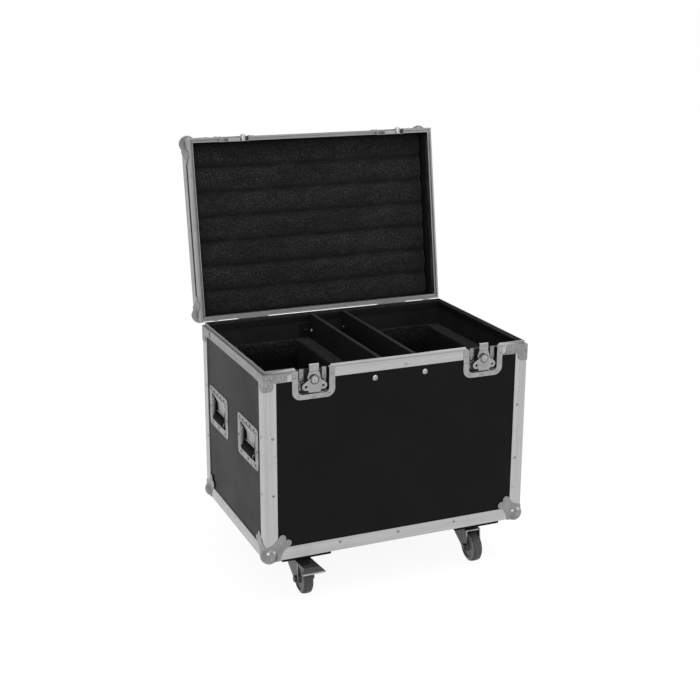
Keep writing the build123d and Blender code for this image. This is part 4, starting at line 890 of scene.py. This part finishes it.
def housing_trim(rivets, pads, middle):
    """Two rivets, a pad and a bent wire at each guide of a latch."""
    for end in (-1, 1):
        rivet(rivets, middle @ Matrix.Translation((end * 27, -18.0, -6.0)), 2.6, 1.1)
        rivet(rivets, middle @ Matrix.Translation((end * 27, -24.0, -6.0)), 2.0, 1.0)
        pads.slab((end * 30.5 - 2.5, -48, -9.6), (end * 30.5 + 2.5, -27, -8.5), middle, 0.4)
        wire = [(end * 31.5, -47.5, -7.6)]
        for a in angles(12, math.pi / 2):
            wire.append((end * (20.5 + 11.0 * math.cos(a)), -38.0 + 9.0 * math.sin(a), -7.6))
        pads.tube(wire, 1.2, middle, 8)


def knob_trim(name, middle):
    """A stepped cap on the knob and a dark ring of painted shade in the gap round it."""
    cap = Piece(f"latch_cap_{name}")
    cap.lathe(
        [
            (0, 1.2), (1.9, 1.1), (2.1, 0.5), (3.0, 0.5), (3.3, 1.3),
            (5.6, 1.1), (6.9, 0.4), (7.0, -0.3), (0, -0.3),
        ],
        middle @ Matrix.Translation((0, -HUB_DROP, 8.2)),
        32,
    )
    cap.done(f"knob_{name}", bright_edge, 40)
    # A dark tube in the knob's gap: painted shade
    gap = Piece(f"latch_knob_gap_{name}")
    ring = []
    for a in angles(32):
        ring.append((GAP_RADIUS * math.cos(a), -HUB_DROP + GAP_RADIUS * math.sin(a), GAP_HEIGHT))
    gap.tube(ring, 0.7, middle, 6)
    gap.done(f"knob_{name}", painted_shade_and_dirt, 60)


def wing_trim(name, middle):
    """Pressed rims round the wing's holes and a bead along its foot."""
    rims = Piece(f"latch_wing_rims_{name}")
    for end in (-1, 1):
        hole = middle @ Matrix.Translation((end * WING_HOLE_X, -HUB_DROP - WING_HOLE_DROP, 6.5))
        rims.lathe([(3.25, -0.2), (3.3, 0.45), (4.2, 0.5), (4.7, 0.1), (4.8, -0.2)], hole, 28)
    foot = [(x, -HUB_DROP - WING_FOOT_DROP, 6.35) for x in (-13, 13)]
    rims.tube(foot, 0.5, middle, 8)
    rims.done(f"wing_{name}", wing_steel, 40)


def hook_crease(name, middle):
    """A crease across the hook: a bright slab as a painted highlight, and a dark line under it as a
    painted shadow.
    """
    crease = Piece(f"latch_hook_crease_{name}")
    crease.slab((-11.2, -2.2, 2.2), (11.2, -0.6, 3.1), middle, 0.3)
    crease.material = 1
    crease.tube([(-11.2, -3.0, 2.45), (11.2, -3.0, 2.45)], 0.55, middle, 6)
    crease.done(f"hook_{name}", bright, 40, (painted_shade_and_dirt,))


def strike_post(name, x):
    """A rounded post that stands on the floor of the lid's latch dish."""
    post = Piece(f"latch_strike_post_{name}")
    foot = seated(LID_SKIN, LID_SIDES[0], x, POST_Y)
    reach = (LID_SIDES[0].inverted() @ foot.translation).z
    post.lathe(
        [
            (0, 6.2), (2.6, 5.8), (4.8, 4.6), (6.3, 2.6), (6.8, 0),
            (6.8, reach - 0.2), (0, reach - 0.2),
        ],
        LID_SIDES[0] @ Matrix.Translation((x, POST_Y, 0)),
        28,
    )
    post.done("lid", latch_plate, 50)


def latch_details():
    rivets = Piece("latch_housing_rivets")
    pads = Piece("latch_housing_pads")
    for s, name in ((-1, "left"), (1, "right")):
        middle = TRUNK[0] @ Matrix.Translation((s * LATCH_X, HEIGHT, 0))
        housing_trim(rivets, pads, middle)
        knob_trim(name, middle)
        wing_trim(name, middle)
        hook_crease(name, middle)
        strike_post(name, s * LATCH_X + POST_X)
    rivets.done("base", rivet_metal, 60, (painted_shade_and_dirt,))
    pads.done("base", latch_guide, 40)


latch_details()


# Castors: bolts in the plates and a seam round each wheel
BOLT_X, BOLT_Y = 35, 41
SEAM_X, SEAM_RADIUS = 8.9, 36.2


def castor_bolts():
    """A washer and a hexagonal head at each corner of the four castor plates."""
    bolts = Piece("castor_plate_bolts")
    for sx, sy, bx, by in product((-1, 1), repeat=4):
        x, y = sx * CASTOR_X + bx * BOLT_X, sy * CASTOR_Y + by * BOLT_Y
        under = place((x, y, BASE_BOTTOM - CASTOR_BOARD), (1, 0, 0), (0, 0, -1))
        bolts.lathe([(0, 1.2), (6.4, 1.2), (6.6, 0.9), (6.6, -0.3), (0, -0.3)], under, 24)
        bolts.lathe([(0, 5.2), (4.6, 5.2), (5.2, 4.6), (5.2, 1.0), (0, 1.0)], under, 6)
    bolts.done("base", bolt_steel, 30)


def wheel_seams():
    """A thin moulding seam at both edges of each wheel's tread."""
    for name in starting("castor_wheel"):
        low, high = (Vector(corner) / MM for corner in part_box(name))
        middle = Matrix.Translation((low + high) / 2)
        seam = Piece(name.replace("castor_wheel", "wheel_seam"))
        for s in (-1, 1):
            ring = []
            for a in angles(48):
                ring.append((s * SEAM_X, SEAM_RADIUS * math.cos(a), SEAM_RADIUS * math.sin(a)))
            seam.tube(ring, 0.35, middle, 6)
        seam.done(name.replace("castor_", ""), wheel_seam, 60)


castor_bolts()
wheel_seams()

# Brake pedals: two pressed ribs across the top of each, as (distance from the tip, half width)
PEDAL_RIBS = ((27.0, 18.0), (39.0, 14.0))


def pedal_ribs():
    above = place((0, 0, 0), (1, 0, 0), (0, 0, 1))
    for name in starting("brake_pedal"):
        low, high = (Vector(corner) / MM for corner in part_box(name))
        ribs = Piece(name.replace("brake_pedal", "pedal_ribs"))
        top = tree_of(name)
        for from_tip, half in PEDAL_RIBS:
            where = seated(top, above, (low.x + high.x) / 2, low.y + from_tip, BASE_BOTTOM)
            ribs.slab((-half, -2.2, -1.0), (half, 2.2, 1.1), where, 0.8)
        ribs.done(name.replace("brake_", ""), pedal_tread, 40)


pedal_ribs()


# Foam
FOAM_CELL, FOAM_LUMP, FOAM_ROUNDING = 7.0, 0.7, 5.0
FOAM_INSET = Vector((0.15, 0.15, 0.15))
DISH_BACK = WIDTH / 2 - 15.9
POCKET_HALF = (65.0, 42.5)


def foam_noise(p, scale, seed):
    return noise.noise(Vector(p) * scale + Vector((seed, seed * 0.7, -seed)))


def clear_of_dishes(p):
    """Presses a foam point in where the back of a handle dish stands."""
    beside = abs(abs(p.y) - HANDLE_X) < POCKET_HALF[0]
    level = abs(p.z - BASE_BOTTOM - HANDLE_Z) < POCKET_HALF[1]
    if beside and level and abs(p.x) > DISH_BACK:
        p.x = math.copysign(DISH_BACK, p.x)


def foam_grid(low, high):
    """The surface of a box, cut into cells."""
    work = bmesh.new()
    counts = [max(2, round((high[i] - low[i]) / FOAM_CELL)) for i in range(3)]
    verts = {}

    def vert(*key):
        if key not in verts:
            shares = [key[a] / counts[a] for a in range(3)]
            verts[key] = work.verts.new([low[a] + (high[a] - low[a]) * shares[a] for a in range(3)])
        return verts[key]

    for axis in range(3):
        u, v = [a for a in range(3) if a != axis]
        for level in (0, counts[axis]):
            for a in range(counts[u]):
                for b in range(counts[v]):
                    corners = []
                    for da, db in ((0, 0), (1, 0), (1, 1), (0, 1)):
                        key = [0, 0, 0]
                        key[axis], key[u], key[v] = level, a + da, b + db
                        corners.append(vert(*key))
                    work.faces.new(corners)
    bmesh.ops.recalc_face_normals(work, faces=work.faces)
    return work


def foam_slab(name, low, high, node_names, top, side):
    """A cut foam slab: soft rounded edges, slightly uneven faces and corners."""
    work = foam_grid(low, high)
    middle, half = (low + high) / 2, (high - low) / 2
    rounding = min(FOAM_ROUNDING, min(half) * 0.6)
    for vertex in work.verts:
        local = vertex.co - middle
        inner = Vector([max(rounding - half[a], min(half[a] - rounding, local[a])) for a in range(3)])
        away = local - inner
        if sum(abs(away[a]) > 1e-6 for a in range(3)) > 1:
            reach = max(abs(away[a]) for a in range(3))
            local = inner + away.normalized() * reach
        wave = foam_noise(vertex.co, 0.02, 3.1) + 0.5 * foam_noise(vertex.co, 0.09, 7.7)
        local = local - local.normalized() * (FOAM_LUMP * (0.6 + wave))
        vertex.co = middle + local
        clear_of_dishes(vertex.co)
    mesh = mesh_of(work, name)
    mesh.shade_smooth()
    mesh.materials.append(top)
    mesh.materials.append(side)
    # Upright faces take the side material, which on the blocks is painted shade
    for polygon in mesh.polygons:
        polygon.material_index = int(abs(polygon.normal.z) < 0.5)
    made = linked(name, mesh)
    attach(made, "base")
    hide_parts(*node_names)


def split_boxes(name):
    """Corners in millimetres of each separate solid of a CAD node."""
    work = bmesh.new()
    work.from_mesh(nodes[name].data)
    bmesh.ops.remove_doubles(work, verts=work.verts, dist=1e-6)
    seen, boxes = set(), []
    for start in work.verts:
        if start in seen:
            continue
        stack, island = [start], []
        seen.add(start)
        while stack:
            v = stack.pop()
            island.append(v.co / MM)
            for edge in v.link_edges:
                other = edge.other_vert(v)
                if other not in seen:
                    seen.add(other)
                    stack.append(other)
        low = Vector([min(p[a] for p in island) for a in range(3)])
        high = Vector([max(p[a] for p in island) for a in range(3)])
        boxes.append((low, high))
    work.free()
    return boxes


for node_name, top, side in (
    ("foam_floor_pads", foam_black, foam_black),
    ("foam_wall_liners", foam_black, foam_black),
    ("foam_blocks", foam_top, foam_side),
):
    for number, (low, high) in enumerate(split_boxes(node_name)):
        piece_name = f"{node_name}_{number + 1}"
        foam_slab(piece_name, low + FOAM_INSET, high - FOAM_INSET, [node_name], top, side)


# Lid foam: seven soft ridges across, with softer rounded ends
PAD_HALF_X, PAD_HALF_Y = (WIDTH - 2 * (9 + 8)) / 2, DEPTH / 2 - 9.3
PAD_BACK, PAD_VALLEY, PAD_CROWN, RIDGES = 55.6, 43.2, 8.0, 7
PAD_PITCH = 2 * PAD_HALF_Y / RIDGES
PAD_COLUMNS, PAD_ROWS = 150, 126


def pad_front(x, y):
    """Height of the pad's front at a place, and how much painted shade its valley and its ends get
    there.
    """
    bend = 1.6 * noise.noise(Vector((x * 0.006, y * 0.01, 1.3)))
    phase = ((y + PAD_HALF_Y + bend) / PAD_PITCH) % 1.0
    ridge = math.sin(math.pi * phase) ** 0.7
    to_end, to_side = PAD_HALF_X - abs(x), PAD_HALF_Y - abs(y)
    fall = 5.0 * max(0.0, 1 - to_end / 7.0) ** 2 + 4.0 * max(0.0, 1 - to_side / 7.0) ** 2
    wave = 0.8 * noise.noise(Vector((x * 0.02, y * 0.02, 4.0)))
    wave += 0.45 * noise.noise(Vector((x * 0.11, y * 0.11, 9.0)))
    # Painted shade in the valleys between ridges and at the pad's ends
    to_valley = min(phase, 1 - phase) * PAD_PITCH
    dark = math.exp(-((to_valley / 7.5) ** 2)) * (0.72 + 0.5 * wave)
    dark = max(dark, math.exp(-((to_end / 5.0) ** 2)) * 0.6)
    return PAD_VALLEY - PAD_CROWN * ridge + fall + wave, min(1.0, max(0.0, dark))


def lid_foam_pad():
    front, back, groove_shades = [], [], []
    work = bmesh.new()
    for r in range(PAD_ROWS + 1):
        y = -PAD_HALF_Y + 2 * PAD_HALF_Y * r / PAD_ROWS
        front_row, back_row = [], []
        for c in range(PAD_COLUMNS + 1):
            x = -PAD_HALF_X + 2 * PAD_HALF_X * c / PAD_COLUMNS
            height, dark = pad_front(x, y)
            front_row.append(work.verts.new((x, y, height)))
            back_row.append(work.verts.new((x, y, PAD_BACK)))
            groove_shades += [dark, 0.0]
        front.append(front_row)
        back.append(back_row)
    for grid in (front, back):
        for r in range(PAD_ROWS):
            for c in range(PAD_COLUMNS):
                work.faces.new((grid[r][c], grid[r][c + 1], grid[r + 1][c + 1], grid[r + 1][c]))
    outline = [(r, 0) for r in range(PAD_ROWS)]
    outline += [(PAD_ROWS, c) for c in range(PAD_COLUMNS)]
    outline += [(r, PAD_COLUMNS) for r in range(PAD_ROWS, 0, -1)]
    outline += [(0, c) for c in range(PAD_COLUMNS, 0, -1)]
    for (r0, c0), (r1, c1) in zip(outline, outline[1:] + outline[:1]):
        work.faces.new((front[r0][c0], front[r1][c1], back[r1][c1], back[r0][c0]))
    bmesh.ops.recalc_face_normals(work, faces=work.faces)
    work.transform(LID)
    mesh = mesh_of(work, "lid_foam_pad")
    mesh.attributes.new("groove", "FLOAT", "POINT").data.foreach_set("value", groove_shades)
    smooth_by_angle(mesh, 60)
    mesh.materials.append(lid_foam_black)
    made = linked("lid_foam_pad", mesh)
    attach(made, "lid")
    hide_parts("lid_foam")


lid_foam_pad()

# Floor, light and camera
FLOOR_HALF = 60.0
FLOOR_WHITE, FLOOR_GLOW, ROOM_FILL = 0.9, 1.03, 0.75
floor_mesh = bpy.data.meshes.new("floor")
corners = [(x * FLOOR_HALF, y * FLOOR_HALF, 0) for x, y in ((-1, -1), (1, -1), (1, 1), (-1, 1))]
floor_mesh.from_pydata(corners, [], [(0, 1, 2, 3)])
floor = linked("floor", floor_mesh)
floor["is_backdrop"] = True


def background_rays(tree):
    """A value that is 1 for the rays that see the background."""
    path = tree.nodes.new("ShaderNodeLightPath")
    total = path.outputs["Is Camera Ray"]
    for kind in ("Is Glossy Ray", "Is Transmission Ray"):
        made = tree.nodes.new("ShaderNodeMath")
        made.operation = "MAXIMUM"
        tree.links.new(total, made.inputs[0])
        tree.links.new(path.outputs[kind], made.inputs[1])
        total = made.outputs["Value"]
    return total


def blended(tree, factor, rest, seen, output_kind):
    """Shows one shader to the rays that a factor picks, and another to the rest."""
    blend = tree.nodes.new("ShaderNodeMixShader")
    tree.links.new(factor, blend.inputs["Fac"])
    tree.links.new(rest, blend.inputs[1])
    tree.links.new(seen, blend.inputs[2])
    tree.links.new(blend.outputs["Shader"], tree.nodes.new(output_kind).inputs["Surface"])


# Paper on the floor: almost white to the camera, with some of its own shading left for shadows
paper = bpy.data.materials.new("paper_floor")
paper.use_nodes = True
tree = paper.node_tree
tree.nodes.clear()
matte = tree.nodes.new("ShaderNodeBsdfDiffuse")
matte.inputs["Color"].default_value = (0.9, 0.9, 0.9, 1)
glow = tree.nodes.new("ShaderNodeEmission")
glow.inputs["Strength"].default_value = FLOOR_GLOW
share = tree.nodes.new("ShaderNodeMath")
share.operation = "MULTIPLY"
share.inputs[1].default_value = FLOOR_WHITE
tree.links.new(background_rays(tree), share.inputs[0])
parts = (share.outputs["Value"], matte.outputs["BSDF"], glow.outputs["Emission"])
blended(tree, *parts, "ShaderNodeOutputMaterial")
floor_mesh.materials.append(paper)

# World: white where it is seen, a softer fill as light
world = bpy.data.worlds.new("studio")
bpy.context.scene.world = world
world.use_nodes = True
tree = world.node_tree
tree.nodes.clear()
skies = []
for strength in (ROOM_FILL, 1.0):
    sky = tree.nodes.new("ShaderNodeBackground")
    sky.inputs["Color"].default_value = (1, 1, 1, 1)
    sky.inputs["Strength"].default_value = strength
    skies.append(sky.outputs["Background"])
blended(tree, background_rays(tree), *skies, "ShaderNodeOutputWorld")


def softbox(name, where, aim, size, power):
    """A square area lamp at a place in metres, turned to a point."""
    lamp = bpy.data.lights.new(name, "AREA")
    lamp.shape = "SQUARE"
    lamp.size = size
    lamp.energy = power
    made = linked(name, lamp)
    made.location = where
    made.rotation_euler = (Vector(aim) - Vector(where)).to_track_quat("-Z", "Y").to_euler()


LIT_POINT = (0.0, 0.0, 0.5)
softbox("top_light", (0.3, -0.4, 3.0), LIT_POINT, 2.0, 38.0)
softbox("key_light", (-1.6, -2.4, 2.2), LIT_POINT, 1.4, 26.0)
softbox("right_light", (2.6, -1.2, 1.6), LIT_POINT, 1.6, 14.0)

# Camera: the one that was fitted to the photograph
CAMERA_PLACE, LENS = (-1.17009, -2.6603, 1.3750), 64.161
AZIMUTH, ELEVATION, ROLL = (math.radians(a) for a in (-23.2221, 16.4465, 0.241))
level = math.cos(ELEVATION)
back = Vector((math.sin(AZIMUTH) * level, -math.cos(AZIMUTH) * level, math.sin(ELEVATION)))
right = Vector((math.cos(AZIMUTH), math.sin(AZIMUTH), 0))
up = back.cross(right)
turned_right = math.cos(ROLL) * right + math.sin(ROLL) * up
turned_up = -math.sin(ROLL) * right + math.cos(ROLL) * up
camera_data = bpy.data.cameras.new("camera")
camera_data.sensor_width = 36.0
camera_data.lens = LENS
camera_data.clip_end = 500.0
camera = linked("camera", camera_data)
pose = Matrix((turned_right, turned_up, back)).transposed().to_4x4()
pose.translation = Vector(CAMERA_PLACE)
camera.matrix_world = pose
bpy.context.scene.camera = camera
bpy.context.scene.view_settings.view_transform = "Standard"

low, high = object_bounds()
